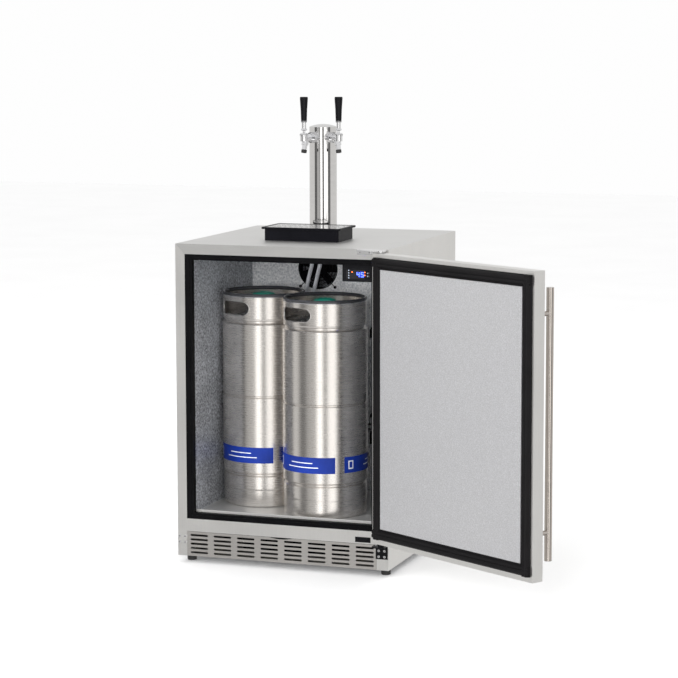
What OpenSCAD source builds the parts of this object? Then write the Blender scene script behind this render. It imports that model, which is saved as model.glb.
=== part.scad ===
/* [Cabinet] */
// Width of the cabinet
body_w = 608; // [590:1:740]
// Depth of the cabinet without its door
body_d = 614; // [600:1:740]
// Height of the cabinet above its feet
body_h = 860; // [820:1:1040]
// Height of the feet that shows under the cabinet
foot_h = 20; // [16:1:30]
// Thickness of the outer sheet metal
sheet = 1; // [0.8:0.1:1.5]
// Thickness of the insulated side walls
wall = 42; // [30:1:50]
// Thickness of the insulated roof
roof = 42; // [30:1:60]
// Thickness of the insulated back
back_wall = 50; // [40:1:60]
// Height of the keg floor above the underside of the cabinet
floor_rise = 118; // [110:1:150]
// Depth of the keg space behind the front face
keg_space = 480; // [470:1:500]
// Width of the steel border at the sides of the front
stile = 27; // [20:1:32]
// Height of the steel border over the opening
header = 28; // [22:1:34]
// Width of the black plastic frame around the opening
breaker = 21; // [14:1:24]
// Height of the steel rail under the opening
rail_h = 35; // [30:1:45]
// Height of the vent grille
grille_h = 68; // [60:1:80]

/* [Door] */
// Thickness of the door without its gasket
door_t = 35; // [30:1:60]
// Gap between the closed door and the cabinet
door_gap = 11; // [9:0.5:16]
// How far the door stands in from the cabinet's sides
door_side = 2; // [1:0.5:6]
// Height of the door
door_h = 771; // [740:1:780]
// How far the door's top lies under the cabinet's top
door_drop = 6.5; // [5:0.5:10]
// Angle that the door stands open at
door_open = 149; // [0:1:149]
// Radius of the hinge pins
pin_r = 4; // [3:0.5:5]
// Width of the gasket
gasket_w = 30; // [20:1:36]
// Diameter of the handle bar
bar_d = 19; // [12:1:25]
// Distance from the door's face to the middle of the handle bar
bar_off = 48; // [40:1:60]
// Length of the handle bar
bar_l = 684; // [400:1:720]

/* [Tower] */
// Diameter of the tower column
tower_d = 76.2; // [60:0.1:92]
// Height of the tower column above the cabinet
tower_h = 305; // [250:1:400]
// Angle that the tower is turned to the right
tower_turn = 16; // [-30:1:30]
// Angle of each faucet from the tower's front
faucet_angle = 32; // [30:1:60]
// Depth of the faucet shanks below the top of the column
shank_drop = 28; // [20:1:60]
// Angle that a tap lever pulls forward
tap_travel = 35; // [20:1:35]

/* [Drip tray] */
// Width of the drip tray over its lip
tray_w = 228.6; // [180:0.1:300]
// Depth of the drip tray over its lip
tray_d = 138; // [100:1:150]
// Height of the drip tray
tray_h = 37; // [25:1:45]

/* [Kegs] */
// Diameter of a keg
keg_d = 232; // [190:1:235]
// Height of a keg
keg_h = 594; // [500:1:600]
// Wall of a keg
keg_t = 1.5; // [1:0.1:3]

/* [Hidden] */
$fn = 48;

// Cuts reach this far past a face
past = 1;
// Gap between parts that only lie side by side
lie = 0.3;
// Radial clearance of a running fit
run_fit = 0.05;

// Cabinet levels; the origin is on the floor, under the middle of the cabinet
front_y = -body_d / 2;
back_y = body_d / 2;
half_w = body_w / 2;
base_z = foot_h;
top_z = foot_h + body_h;
floor_z = base_z + floor_rise;
roof_z = top_z - roof;
in_x = half_w - wall;
cover_y = front_y + keg_space;
liner_y = back_y - back_wall;
liner_t = 1;
breaker_out = half_w - stile;
open_x = breaker_out - breaker;
breaker_top = top_z - header;
open_top = breaker_top - 15.5;
rail_z = base_z + grille_h + 1;
rail_top = rail_z + rail_h;
open_bottom = rail_top + 17;
breaker_t = 16;

// The raised step at the back of the floor, over the compressor
step_z = floor_z + 160;
bay_top = step_z - 36;
bay_y = cover_y + 33;
foam_floor = 44;
duct_z = floor_z - foam_floor;

module box(x, y, z) {
    translate([x[0], y[0], z[0]]) cube([x[1] - x[0], y[1] - y[0], z[1] - z[0]]);
}

// A cylinder from point a to point b
module rod(a, b, r, fn = 24) {
    d = b - a;
    l = norm(d);
    translate(a)
        rotate([0, acos(d[2] / l), atan2(d[1], d[0])])
            cylinder(r = r, h = l, $fn = fn);
}

// A pipe through the points, with round corners
module pipe(points, r, fn = 20) {
    for (i = [0 : len(points) - 2]) rod(points[i], points[i + 1], r, fn);
    for (i = [1 : len(points) - 2]) translate(points[i]) sphere(r = r, $fn = 24);
}

// ---------------------------------------------------------------- cabinet shell

module side_panel(side, low_stile) {
    out = side * half_w;
    skin = side * (half_w - sheet);
    box([min(out, skin), max(out, skin)], [front_y, back_y - sheet], [base_z, top_z]);
    // Front border, with its top corner mitred to the roof's border
    translate([0, front_y + sheet, 0])
        rotate([90, 0, 0])
            linear_extrude(sheet)
                polygon([
                    [side * (half_w - sheet), base_z],
                    [side * (half_w - low_stile), base_z],
                    [side * (half_w - low_stile), rail_z],
                    [side * breaker_out, rail_z],
                    [side * breaker_out, breaker_top],
                    [side * (half_w - sheet), top_z - sheet * header / stile]
                ]);
}

module left_side_panel() {
    color("lightgray") side_panel(-1, stile);
}

right_low_stile = stile + 6;
module right_side_panel() {
    color("lightgray") side_panel(1, right_low_stile);
}

tower_y = front_y + 342.5;
tower_hole_r = 33;
flange_r = tower_d / 2 + 18;
flange_h = 6;
flange_bolts = flange_r - 9;
flange_screw_r = 2.5;
module tower_bolts(r, z0, z1) {
    for (i = [0 : 3])
        rotate([0, 0, 45 + i * 90])
            translate([flange_bolts, 0, z0]) cylinder(r = r, h = z1 - z0);
}

module top_panel() {
    mitre = sheet * header / stile;
    color("lightgray") difference() {
        union() {
            box([-half_w + sheet, half_w - sheet], [front_y, back_y - sheet], [top_z - sheet, top_z]);
            translate([0, front_y + sheet, 0])
                rotate([90, 0, 0])
                    linear_extrude(sheet)
                        polygon([
                            [-half_w + sheet, top_z],
                            [-half_w + sheet, top_z - mitre],
                            [-breaker_out, breaker_top],
                            [breaker_out, breaker_top],
                            [half_w - sheet, top_z - mitre],
                            [half_w - sheet, top_z]
                        ]);
        }
        translate([0, tower_y, top_z - sheet - past]) cylinder(r = tower_hole_r, h = sheet + 2 * past);
        translate([0, tower_y, 0])
            rotate([0, 0, tower_turn])
                tower_bolts(flange_screw_r + lie, top_z - sheet - past, top_z + past);
    }
}

gas_x = in_x - 50;
gas_z = floor_z + 560;
gas_bore_r = 5;
gas_sleeve_r = 11;
inlet_x = -half_w + 160;
inlet_z = base_z + 40;
inlet_w = 27;
inlet_h = 20;
vent_n = 9;
vent_pitch = 20;
vent_w = 8;
vent_h = 90;
module back_panel() {
    color("silver") difference() {
        box([-half_w, half_w], [back_y - sheet, back_y], [base_z, top_z]);
        translate([gas_x, back_y + past, gas_z])
            rotate([90, 0, 0]) cylinder(r = gas_sleeve_r, h = sheet + 2 * past);
        box([inlet_x - inlet_w / 2, inlet_x + inlet_w / 2],
            [back_y - sheet - past, back_y + past],
            [inlet_z - inlet_h / 2, inlet_z + inlet_h / 2]);
        // Vents of the compressor bay
        for (side = [-1, 1], i = [0 : vent_n - 1])
            translate([side * 120 + (i - (vent_n - 1) / 2) * vent_pitch - vent_w / 2,
                       back_y - sheet - past, base_z + 90])
                cube([vent_w, sheet + 2 * past, vent_h]);
    }
}

foot_x = half_w - 22;
foot_y = body_d / 2 - 46;
stud_r = 5;
stud_up = 22;
boss_r = 11;
boss_h = 14;
pan_t = 1.5;
foot_places = [[-foot_x, -foot_y], [foot_x, -foot_y], [-foot_x, foot_y], [foot_x, foot_y]];
module base_pan() {
    color("silver") difference() {
        union() {
            box([-half_w + sheet, half_w - sheet], [front_y + 3, back_y - sheet], [base_z, base_z + pan_t]);
            for (p = foot_places)
                translate([p[0], p[1], base_z]) cylinder(r = boss_r, h = boss_h);
        }
        for (p = foot_places)
            translate([p[0], p[1], base_z - past]) cylinder(r = stud_r + run_fit, h = boss_h + 2 * past);
    }
}

foot_r = 13;
foot_plate = 7;
module foot(i) {
    p = foot_places[i];
    color("black") translate([p[0], p[1], 0]) {
        cylinder(r1 = foot_r - 1.5, r2 = foot_r, h = 1.5);
        translate([0, 0, 1.5]) cylinder(r = foot_r, h = base_z - 1.5 - lie);
        cylinder(r = stud_r, h = base_z + stud_up);
    }
}
module foot_front_left() { foot(0); }
module foot_front_right() { foot(1); }
module foot_back_left() { foot(2); }
module foot_back_right() { foot(3); }

// The keg space as a side view, grown by g on all sides; x of the outline is depth
module space_outline(g, front) {
    polygon([
        [front, floor_z - g],
        [cover_y + 2 + g, floor_z - g],
        [cover_y + 2 + g, step_z - g],
        [liner_y + g, step_z - g],
        [liner_y + g, roof_z + g],
        [front, roof_z + g]
    ]);
}

module space(g, front) {
    translate([-in_x - g, 0, 0])
        rotate([90, 0, 90])
            linear_extrude(2 * (in_x + g)) space_outline(g, front);
}

liner_front = front_y + breaker_t;
coil_x = 20;
coil_d = 46;
coil_y0 = liner_y - 52;
pipe_y = coil_y0 + coil_d / 2;
pipe_r = 4;
suction_x = -160;
liquid_x = -180;
module foam_holes() {
    translate([0, tower_y, roof_z - 3]) cylinder(r = tower_hole_r, h = roof + 2 * past);
    translate([gas_x, back_y + past, gas_z])
        rotate([90, 0, 0]) cylinder(r = gas_sleeve_r, h = body_d);
    for (x = [suction_x, liquid_x])
        translate([x, pipe_y, bay_top - 5]) cylinder(r = pipe_r + lie, h = step_z - bay_top + 10);
}

// Six foam boards around the keg space
module insulation() {
    side = in_x + liner_t;
    low = floor_z - liner_t;
    high = roof_z + liner_t;
    inner_w = side - lie;
    color("khaki") difference() {
        union() {
            for (s = [-1, 1]) {
                x = s > 0 ? [side, half_w - sheet] : [-half_w + sheet, -side];
                box(x, [front_y + sheet, bay_y], [duct_z, top_z - sheet]);
                box(x, [bay_y - past, back_y - sheet], [bay_top, top_z - sheet]);
            }
            // Roof
            box([-inner_w, inner_w], [liner_front + lie, back_y - sheet], [high, top_z - sheet]);
            // Back
            box([-inner_w, inner_w], [liner_y + liner_t, back_y - sheet], [step_z, high - lie]);
            // Over the compressor bay
            box([-inner_w, inner_w], [cover_y + 2 + liner_t + lie, back_y - sheet],
                [bay_top, step_z - liner_t - lie]);
            // In front of the compressor bay
            box([-inner_w, inner_w], [cover_y + 2 + liner_t + lie, bay_y], [duct_z, bay_top - lie]);
            // Floor
            box([-inner_w, inner_w], [front_y + 22 + lie, cover_y + 2 + liner_t], [duct_z, low]);
        }
        // Seats of the black frame and of the rail
        box([-breaker_out, breaker_out], [front_y - past, liner_front + 0.01], [rail_top, breaker_top]);
        box([-breaker_out, breaker_out], [front_y - past, front_y + 22], [duct_z - past, rail_top]);
        foam_holes();
    }
}

module inner_liner() {
    color("gainsboro") difference() {
        space(liner_t, liner_front);
        space(0, liner_front - past);
        foam_holes();
    }
}

lip_h = 10;
module floor_sheet() {
    color("silver") {
        box([-in_x + lie, in_x - lie], [liner_front + 1, cover_y - cover_bend - 1], [floor_z, floor_z + 1]);
        box([-in_x + lie, in_x - lie], [liner_front + 1, liner_front + 2], [floor_z + 1, floor_z + lip_h]);
    }
}

fan_x = -66;
fan_z = roof_z - 65;
fan_r = 60;
fan_pitch = 105;
return_n = 12;
return_pitch = 34;
cover_t = 1.2;
cover_bend = 14;
module evaporator_cover() {
    out = in_x - lie;
    flat = out - cover_bend;
    color("gainsboro") difference() {
        translate([0, 0, floor_z + 1]) linear_extrude(roof_z - lie - floor_z - 1) polygon([
            [-out, cover_y - cover_bend], [-flat, cover_y], [flat, cover_y], [out, cover_y - cover_bend],
            [out, cover_y - cover_bend + 1.6], [flat + 0.5, cover_y + cover_t],
            [-flat - 0.5, cover_y + cover_t], [-out, cover_y - cover_bend + 1.6]
        ]);
        translate([fan_x, cover_y + 2, fan_z]) rotate([90, 0, 0]) cylinder(r = fan_r, h = 4, $fn = 96);
        translate([gas_x, cover_y + 3, gas_z]) rotate([90, 0, 0]) cylinder(r = gas_sleeve_r, h = 6);
        // Air returns low in the cover
        for (i = [0 : return_n - 1], j = [0, 1])
            translate([(i - (return_n - 1) / 2) * return_pitch - 12, cover_y - past, step_z + 14 + j * 14])
                cube([24, 4, 5]);
    }
}

module breaker_frame() {
    color("black") difference() {
        box([-breaker_out, breaker_out], [front_y + 0.5, liner_front], [rail_top, breaker_top]);
        box([-open_x, open_x], [front_y - past, liner_front + past], [open_bottom, open_top]);
        // Groove around the opening
        difference() {
            box([-open_x - 8, open_x + 8], [front_y - past, front_y + 2], [open_bottom - 7, open_top + 6]);
            box([-open_x - 4, open_x + 4], [front_y - 2, front_y + 3], [open_bottom - 4, open_top + 3]);
        }
    }
}

switch_x = 232;
switch_z = rail_z + 11;
switch_w = 43;
switch_h = 14;
rail_in = half_w - right_low_stile;
module bottom_rail() {
    color("lightgray") difference() {
        union() {
            box([-breaker_out, breaker_out], [front_y, front_y + sheet], [rail_z, rail_top]);
            box([-breaker_out, breaker_out], [front_y, front_y + 14], [rail_top - sheet, rail_top]);
        }
        box([switch_x - switch_w / 2 + 2, switch_x + switch_w / 2 - 2],
            [front_y - past, front_y + 3], [switch_z - switch_h / 2 + 2, switch_z + switch_h / 2 - 2]);
    }
}

grille_t = 1.2;
grille_left = -breaker_out + lie;
grille_right = half_w - right_low_stile - lie;
slot_cols = 8;
slot_rows = 5;
slot_l = 51;
slot_h = 5.6;
slot_first = grille_left + 10 + slot_l / 2;
slot_pitch = (grille_right - 8 - slot_l / 2 - slot_first) / (slot_cols - 1);
row_pitch = 12;
notch_w = 69;
notch_h = 4;
module slot_shape(l, h) {
    square([l - h, h], center = true);
    for (s = [-1, 1]) translate([s * (l - h) / 2, 0]) circle(d = h, $fn = 24);
}
module kick_grille() {
    notch_r = (notch_w * notch_w / 4 + notch_h * notch_h) / (2 * notch_h);
    color("silver") translate([0, front_y + grille_t, 0]) rotate([90, 0, 0])
        linear_extrude(grille_t) difference() {
            translate([grille_left, base_z + lie]) square([grille_right - grille_left, grille_h]);
            for (i = [0 : slot_cols - 1], j = [0 : slot_rows - 1])
                translate([slot_first + i * slot_pitch, base_z + 10.5 + j * row_pitch])
                    slot_shape(slot_l, slot_h);
            translate([-2, base_z + lie + grille_h - notch_h + notch_r]) circle(r = notch_r, $fn = 180);
        }
}

// ---------------------------------------------------------------- hinges and fasteners

door_w = body_w - 2 * door_side;
door_x = door_w / 2;
door_in = front_y - door_gap;
door_out = door_in - door_t;
door_top = top_z - door_drop;
door_bottom = door_top - door_h;
pin_x = half_w - 12;
pin_y = door_in - 19.6;
lug_t = 3;
lug_z = top_z - lug_t;
lug_r = 12;
module top_hinge() {
    color("silver") {
        // Lug over the door
        translate([0, 0, lug_z]) linear_extrude(lug_t) {
            polygon([
                [half_w - 88, front_y], [half_w - 4, front_y], [half_w - 1, pin_y],
                [pin_x, pin_y - lug_r + 1], [half_w - 44, pin_y + 2], [half_w - 88, front_y - 3]
            ]);
            translate([pin_x, pin_y]) circle(r = lug_r - 1);
        }
        box([half_w - 87, half_w - 42], [front_y - 2.5, front_y], [top_z - 14, lug_z]);
        translate([pin_x, pin_y, door_top - 13]) cylinder(r = pin_r, h = lug_z - door_top + 13.5);
    }
}

bracket_x = half_w - 18;
bracket_z = base_z + 46;
low_lug_z = base_z + 67;
low_lug_t = 4;
module bottom_hinge() {
    color("dimgray") {
        box([bracket_x - 17, half_w - 2], [front_y - 3, front_y], [bracket_z - 15, low_lug_z + low_lug_t]);
        translate([0, 0, low_lug_z]) linear_extrude(low_lug_t) {
            polygon([
                [bracket_x - 17, front_y - 2], [half_w - 2, front_y - 2], [half_w - 1, pin_y],
                [pin_x, pin_y - lug_r + 1], [bracket_x - 19, pin_y - 1], [bracket_x - 19, front_y - 14]
            ]);
            translate([pin_x, pin_y]) circle(r = lug_r - 1);
        }
        translate([pin_x, pin_y, low_lug_z + low_lug_t]) cylinder(r = 8, h = door_bottom - lie - low_lug_z - low_lug_t);
        translate([pin_x, pin_y, low_lug_z]) cylinder(r = pin_r, h = door_bottom + 14 - low_lug_z);
    }
}

head_r = 3.4;
head_h = 1.6;
module front_screw(x, z, y) {
    translate([x, y, z]) rotate([90, 0, 0]) cylinder(r = head_r, h = head_h, $fn = 32);
}
screw_pitch = 16;
module screws() {
    color("silver") {
        // Plugged hinge holes on the left border and the four screws of the lower hinge
        for (i = [-0.5, 0.5], j = [-0.5, 0.5]) {
            front_screw(-half_w + stile / 2 + i * screw_pitch, bracket_z + j * screw_pitch, front_y);
            front_screw(bracket_x + i * screw_pitch, bracket_z + j * screw_pitch, front_y - 3);
        }
        for (x = [half_w - 78, half_w - 52]) front_screw(x, top_z - 8.5, front_y - 2.5);
        // Door stop bolt on the lower hinge
        translate([bracket_x - 9, front_y - 20, low_lug_z + low_lug_t]) cylinder(r = 5, h = 6, $fn = 6);
        // Tower flange
        translate([0, tower_y, 0])
            rotate([0, 0, tower_turn])
                for (i = [0 : 3])
                    rotate([0, 0, 45 + i * 90])
                        translate([flange_bolts, 0, top_z + flange_h]) cylinder(r = 4.2, h = 2.2, $fn = 32);
    }
}

// ---------------------------------------------------------------- switch and controller

rocker_w = 30;
rocker_h = 8;
rocker_tilt = 6;
rocker_pin_y = front_y + 4;
module switch_housing() {
    color("black") difference() {
        union() {
            box([switch_x - switch_w / 2, switch_x + switch_w / 2],
                [front_y - 1.5, front_y], [switch_z - switch_h / 2, switch_z + switch_h / 2]);
            box([switch_x - switch_w / 2 + 2.2, switch_x + switch_w / 2 - 2.2],
                [front_y - 0.5, front_y + 20], [switch_z - switch_h / 2 + 2.2, switch_z + switch_h / 2 - 2.2]);
        }
        box([switch_x - rocker_w / 2 - 1, switch_x + rocker_w / 2 + 1], [front_y - 3, front_y + 14],
            [switch_z - rocker_h / 2 - 0.4, switch_z + rocker_h / 2 + 0.4]);
    }
}

module power_rocker() {
    color("darkslategray")
        translate([switch_x, rocker_pin_y, switch_z - rocker_h / 2])
            rotate([0, 0, -rocker_tilt])
                linear_extrude(rocker_h) polygon([
                    [-rocker_w / 2, -6.5], [0, -5], [rocker_w / 2, -6.5],
                    [rocker_w / 2, 4.5], [-rocker_w / 2, 4.5]
                ]);
}

ctrl_left = in_x - 92;
ctrl_right = in_x - 8;
ctrl_y = front_y + breaker_t;
ctrl_d = 62;
ctrl_bottom = roof_z - 47;
key_x = ctrl_right - 13;
key_w = 7;
key_h = 5;
key_gap = 0.3;
key_travel = 0.8;
key_up_z = ctrl_bottom + 23;
key_down_z = key_up_z - 8;
module controller_housing() {
    color("black") difference() {
        box([ctrl_left, ctrl_right], [ctrl_y, ctrl_y + ctrl_d], [ctrl_bottom, roof_z - lie]);
        // Sunk panel for the display
        box([ctrl_left + 4, ctrl_right - 4], [ctrl_y - past, ctrl_y + 1.2], [ctrl_bottom + 3.5, ctrl_bottom + 35]);
        for (z = [key_up_z, key_down_z])
            box([key_x - key_w / 2 - key_gap, key_x + key_w / 2 + key_gap], [ctrl_y, ctrl_y + 6],
                [z - key_h / 2 - key_gap, z + key_h / 2 + key_gap]);
    }
}
module key(z) {
    color("gray")
        box([key_x - key_w / 2, key_x + key_w / 2], [ctrl_y + 0.2, ctrl_y + 5],
            [z - key_h / 2, z + key_h / 2]);
}
module key_up() { key(key_up_z); }
module key_down() { key(key_down_z); }

// ---------------------------------------------------------------- cooling system

frame_y = cover_y + cover_t;
frame_t = 26;
module fan_frame(w, r, t, hub) {
    translate([-w / 2, 0, -w / 2]) difference() {
        cube([w, t, w]);
        translate([w / 2, t + past, w / 2]) rotate([90, 0, 0]) cylinder(r = r, h = t + 2 * past, $fn = 96);
        for (x = [7, w - 7], z = [7, w - 7])
            translate([x, t + past, z]) rotate([90, 0, 0]) cylinder(r = 2.2, h = t + 2 * past, $fn = 24);
    }
    // Motor carrier across the back
    for (a = [45, 135]) rotate([0, a, 0]) translate([-r - 1, t - 3, -3]) cube([2 * r + 2, 3, 6]);
    translate([0, t, 0]) rotate([90, 0, 0]) cylinder(r = hub, h = 7);
    translate([0, t, 0]) rotate([90, 0, 0]) cylinder(r = 2, h = t - 4, $fn = 24);
}

module fan_rotor(r, t, hub, blades) {
    difference() {
        union() {
            translate([0, t - 8, 0]) rotate([90, 0, 0]) cylinder(r = hub + 2, h = t - 12);
            intersection() {
                translate([0, t - 8.5, 0]) rotate([90, 0, 0]) cylinder(r = r - 2, h = t - 13, $fn = 96);
                for (i = [0 : blades - 1])
                    rotate([0, i * 360 / blades, 0])
                        translate([r / 2 + 4, t / 2 - 2, 0]) rotate([32, 0, 0])
                            cube([r, 1.6, r * 0.62], center = true);
            }
        }
        translate([0, t, 0]) rotate([90, 0, 0]) cylinder(r = 2 + run_fit, h = t + 8, $fn = 24);
    }
}

module evaporator_fan_rotor() {
    color("black") translate([fan_x, frame_y, fan_z]) fan_rotor(56, frame_t, 17, 7);
}

guard_r = 1;
module fan_guard() {
    y = cover_y - 3;
    color("dimgray") translate([fan_x, y, fan_z]) {
        for (r = [10 : 9 : 55]) rotate([90, 0, 0]) rotate_extrude($fn = 72) translate([r, 0]) circle(r = guard_r, $fn = 16);
        for (a = [45, 135])
            rotate([0, a, 0]) translate([-fan_pitch / sqrt(2) + 3.4, 0.8, 0]) rotate([0, 90, 0])
                cylinder(r = guard_r, h = fan_pitch * sqrt(2) - 6.8, $fn = 16);
        for (a = [45 : 90 : 315])
            rotate([0, a, 0]) translate([fan_pitch / sqrt(2), 0.8, 0])
                rotate([90, 0, 0]) rotate_extrude($fn = 32) translate([3.4, 0]) circle(r = guard_r, $fn = 16);
        for (a = [45 : 90 : 315])
            rotate([0, a, 0]) translate([fan_pitch / sqrt(2), 3, 0])
                rotate([90, 0, 0]) cylinder(r = 2, h = 5, $fn = 24);
    }
}

coil_w = 300;
coil_stub = 8;
coil_h = 190;
coil_fins = 14;
coil_rows = 6;
coil_z0 = step_z + 22;
module evaporator_coil() {
    color("silver") translate([coil_x - coil_w / 2, coil_y0, coil_z0]) {
        for (i = [0 : coil_fins - 1])
            translate([i * (coil_w - 1) / (coil_fins - 1), 0, 0]) cube([1, coil_d, coil_h]);
        for (j = [0 : coil_rows - 1]) {
            z = coil_h * (j + 0.5) / coil_rows;
            rod([-coil_stub, coil_d / 2, z], [coil_w + coil_stub, coil_d / 2, z], pipe_r);
        }
        for (j = [0 : coil_rows - 2]) {
            z = coil_h * (j + 0.5) / coil_rows;
            x = j % 2 == 0 ? coil_w + coil_stub : -coil_stub;
            rod([x, coil_d / 2, z - pipe_r], [x, coil_d / 2, z + coil_h / coil_rows + pipe_r], pipe_r);
        }
    }
}

comp_x = half_w - 150;
comp_y = (bay_y + back_y) / 2 + 2;
comp_z = base_z + pan_t + 12;
comp_r = 42;
comp_long = 34;
comp_top = comp_z + 136;
module can(r, z, h) {
    translate([comp_x, comp_y, z]) linear_extrude(h) {
        square([2 * comp_long, 2 * r], center = true);
        for (s = [-1, 1]) translate([s * comp_long, 0]) circle(r = r);
    }
}
module compressor() {
    color("black") {
        can(comp_r, comp_z, 74);
        can(comp_r + 3, comp_z + 74, 6);
        can(comp_r - 1, comp_z + 80, 48);
        can(comp_r - 9, comp_z + 128, comp_top - comp_z - 128);
        // Mounting feet on rubber bushes
        for (sx = [-1, 1], sy = [-1, 1]) translate([comp_x + sx * 74, comp_y + sy * 34, base_z + pan_t])
            cylinder(r = 9, h = 12);
        box([comp_x - 86, comp_x + 86], [comp_y - 44, comp_y + 44], [comp_z - 2, comp_z + 2]);
        box([comp_x + comp_long + comp_r - 4, comp_x + comp_long + comp_r + 20],
            [comp_y - 24, comp_y + 24], [comp_z + 24, comp_z + 66]);
    }
}

cond_x0 = -half_w + 36;
cond_w = 46;
cond_y0 = bay_y + 8;
cond_y1 = back_y - 8;
cond_z0 = base_z + pan_t;
cond_z1 = base_z + 190;
cond_fins = 22;
module condenser() {
    color("dimgray") {
        for (i = [0 : cond_fins - 1]) {
            z = cond_z0 + 6 + i * (cond_z1 - cond_z0 - 12) / (cond_fins - 1);
            box([cond_x0, cond_x0 + cond_w], [cond_y0, cond_y1], [z, z + 0.8]);
        }
        for (y = [cond_y0 + 14 : 22 : cond_y1 - 10], x = [cond_x0 + 12, cond_x0 + cond_w - 12])
            rod([x, y, cond_z0 + 4], [x, y, cond_z1 - 4], 3.5);
        for (y = [cond_y0, cond_y1 - 1.5]) box([cond_x0, cond_x0 + cond_w], [y, y + 1.5], [cond_z0, cond_z1]);
    }
}

cfan_x = cond_x0 + cond_w + 1;
cfan_y = (cond_y0 + cond_y1) / 2;
cfan_w = 98;
cfan_z = cond_z0 + cfan_w / 2;
cfan_r = 46;
module fan_frames() {
    color("black") translate([fan_x, frame_y, fan_z]) fan_frame(120, 57.5, frame_t, 19);
    color("black") translate([cfan_x, cfan_y, cfan_z]) rotate([0, 0, -90]) fan_frame(cfan_w, cfan_r, frame_t, 15);
}
module condenser_fan_rotor() {
    color("gray") translate([cfan_x, cfan_y, cfan_z]) rotate([0, 0, -90]) fan_rotor(cfan_r - 1.5, frame_t, 13, 5);
}

module refrigerant_pipes() {
    stub_x = coil_x - coil_w / 2 - coil_stub;
    first_row = coil_z0 + coil_h * 0.5 / coil_rows;
    last_row = coil_z0 + coil_h * (coil_rows - 0.5) / coil_rows;
    low = bay_top - 24;
    cond_x = cond_x0 + cond_w / 2;
    color("peru") {
        // Suction line, from the evaporator's lowest row down to the compressor
        pipe([[stub_x, pipe_y, first_row], [suction_x, pipe_y, first_row], [suction_x, pipe_y, low],
              [comp_x - 20, pipe_y, low], [comp_x - 20, comp_y, low], [comp_x - 20, comp_y, comp_top]], pipe_r);
        // Liquid line, from the condenser up to the evaporator's highest row
        pipe([[stub_x, pipe_y, last_row], [liquid_x, pipe_y, last_row], [liquid_x, pipe_y, low + 12],
              [liquid_x, cfan_y, low + 12], [cond_x, cfan_y, low + 12], [cond_x, cfan_y, cond_z1]], 2.6);
    }
}

module drain_pan() {
    color("black") difference() {
        box([-160, 140], [front_y + 120, front_y + 300], [base_z + pan_t, base_z + 34]);
        box([-157, 137], [front_y + 123, front_y + 297], [base_z + pan_t + 3, base_z + 36]);
    }
}

module power_inlet() {
    color("black") difference() {
        union() {
            box([inlet_x - inlet_w / 2, inlet_x + inlet_w / 2], [back_y - 22, back_y],
                [inlet_z - inlet_h / 2, inlet_z + inlet_h / 2]);
            box([inlet_x - 25, inlet_x + 25], [back_y, back_y + 2], [inlet_z - 12, inlet_z + 12]);
        }
        box([inlet_x - 11, inlet_x + 11], [back_y - 16, back_y + 3], [inlet_z - 7, inlet_z + 7]);
    }
    color("silver")
        for (p = [[-6, 0], [0, 2.5], [6, 0]])
            box([inlet_x + p[0] - 1, inlet_x + p[0] + 1], [back_y - 17, back_y - 3],
                [inlet_z + p[1] - 2, inlet_z + p[1] + 2]);
}

module gas_line_grommet() {
    color("black") difference() {
        union() {
            translate([gas_x, back_y + 3, gas_z]) rotate([90, 0, 0]) cylinder(r = gas_sleeve_r + 6, h = 3);
            translate([gas_x, back_y, gas_z])
                rotate([90, 0, 0]) cylinder(r = gas_sleeve_r, h = back_y - cover_y + 4);
        }
        translate([gas_x, back_y + 4, gas_z]) rotate([90, 0, 0]) cylinder(r = gas_bore_r, h = body_d / 2);
    }
}

// ---------------------------------------------------------------- tower and faucets

tower_r = tower_d / 2;
tower_wall = 1.5;
column_top = top_z + tower_h;
shank_z = column_top - shank_drop;
shank_r = 9;

// Puts a faucet's own frame, with its shank along -Y, on one side of the tower
module at_faucet(side) {
    translate([0, tower_y, 0]) rotate([0, 0, tower_turn + side * faucet_angle]) children();
}

module tower_column() {
    color("silver") difference() {
        union() {
            translate([0, tower_y, top_z]) cylinder(r = flange_r, h = flange_h, $fn = 96);
            translate([0, tower_y, top_z]) cylinder(r = tower_r, h = tower_h, $fn = 96);
        }
        translate([0, tower_y, top_z - past])
            cylinder(r = tower_r - tower_wall, h = tower_h + 2 * past, $fn = 96);
        translate([0, tower_y, 0]) rotate([0, 0, tower_turn])
            tower_bolts(flange_screw_r, top_z - past, top_z + flange_h + past);
        for (s = [-1, 1]) at_faucet(s)
            translate([0, 0, shank_z]) rotate([90, 0, 0]) cylinder(r = shank_r, h = tower_r + 5);
    }
}

cap_dome = 7.5;
cap_plug = 12;
module tower_cap() {
    dome_r = (tower_r * tower_r + cap_dome * cap_dome) / (2 * cap_dome);
    color("silver") translate([0, tower_y, column_top]) {
        intersection() {
            cylinder(r = tower_r + 0.4, h = cap_dome + past, $fn = 96);
            translate([0, 0, cap_dome - dome_r]) sphere(r = dome_r, $fn = 180);
        }
        difference() {
            translate([0, 0, -cap_plug]) cylinder(r = tower_r - tower_wall, h = cap_plug + 0.5, $fn = 96);
            translate([0, 0, -cap_plug - past]) cylinder(r = tower_r - tower_wall - 2, h = cap_plug, $fn = 96);
        }
    }
}

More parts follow.
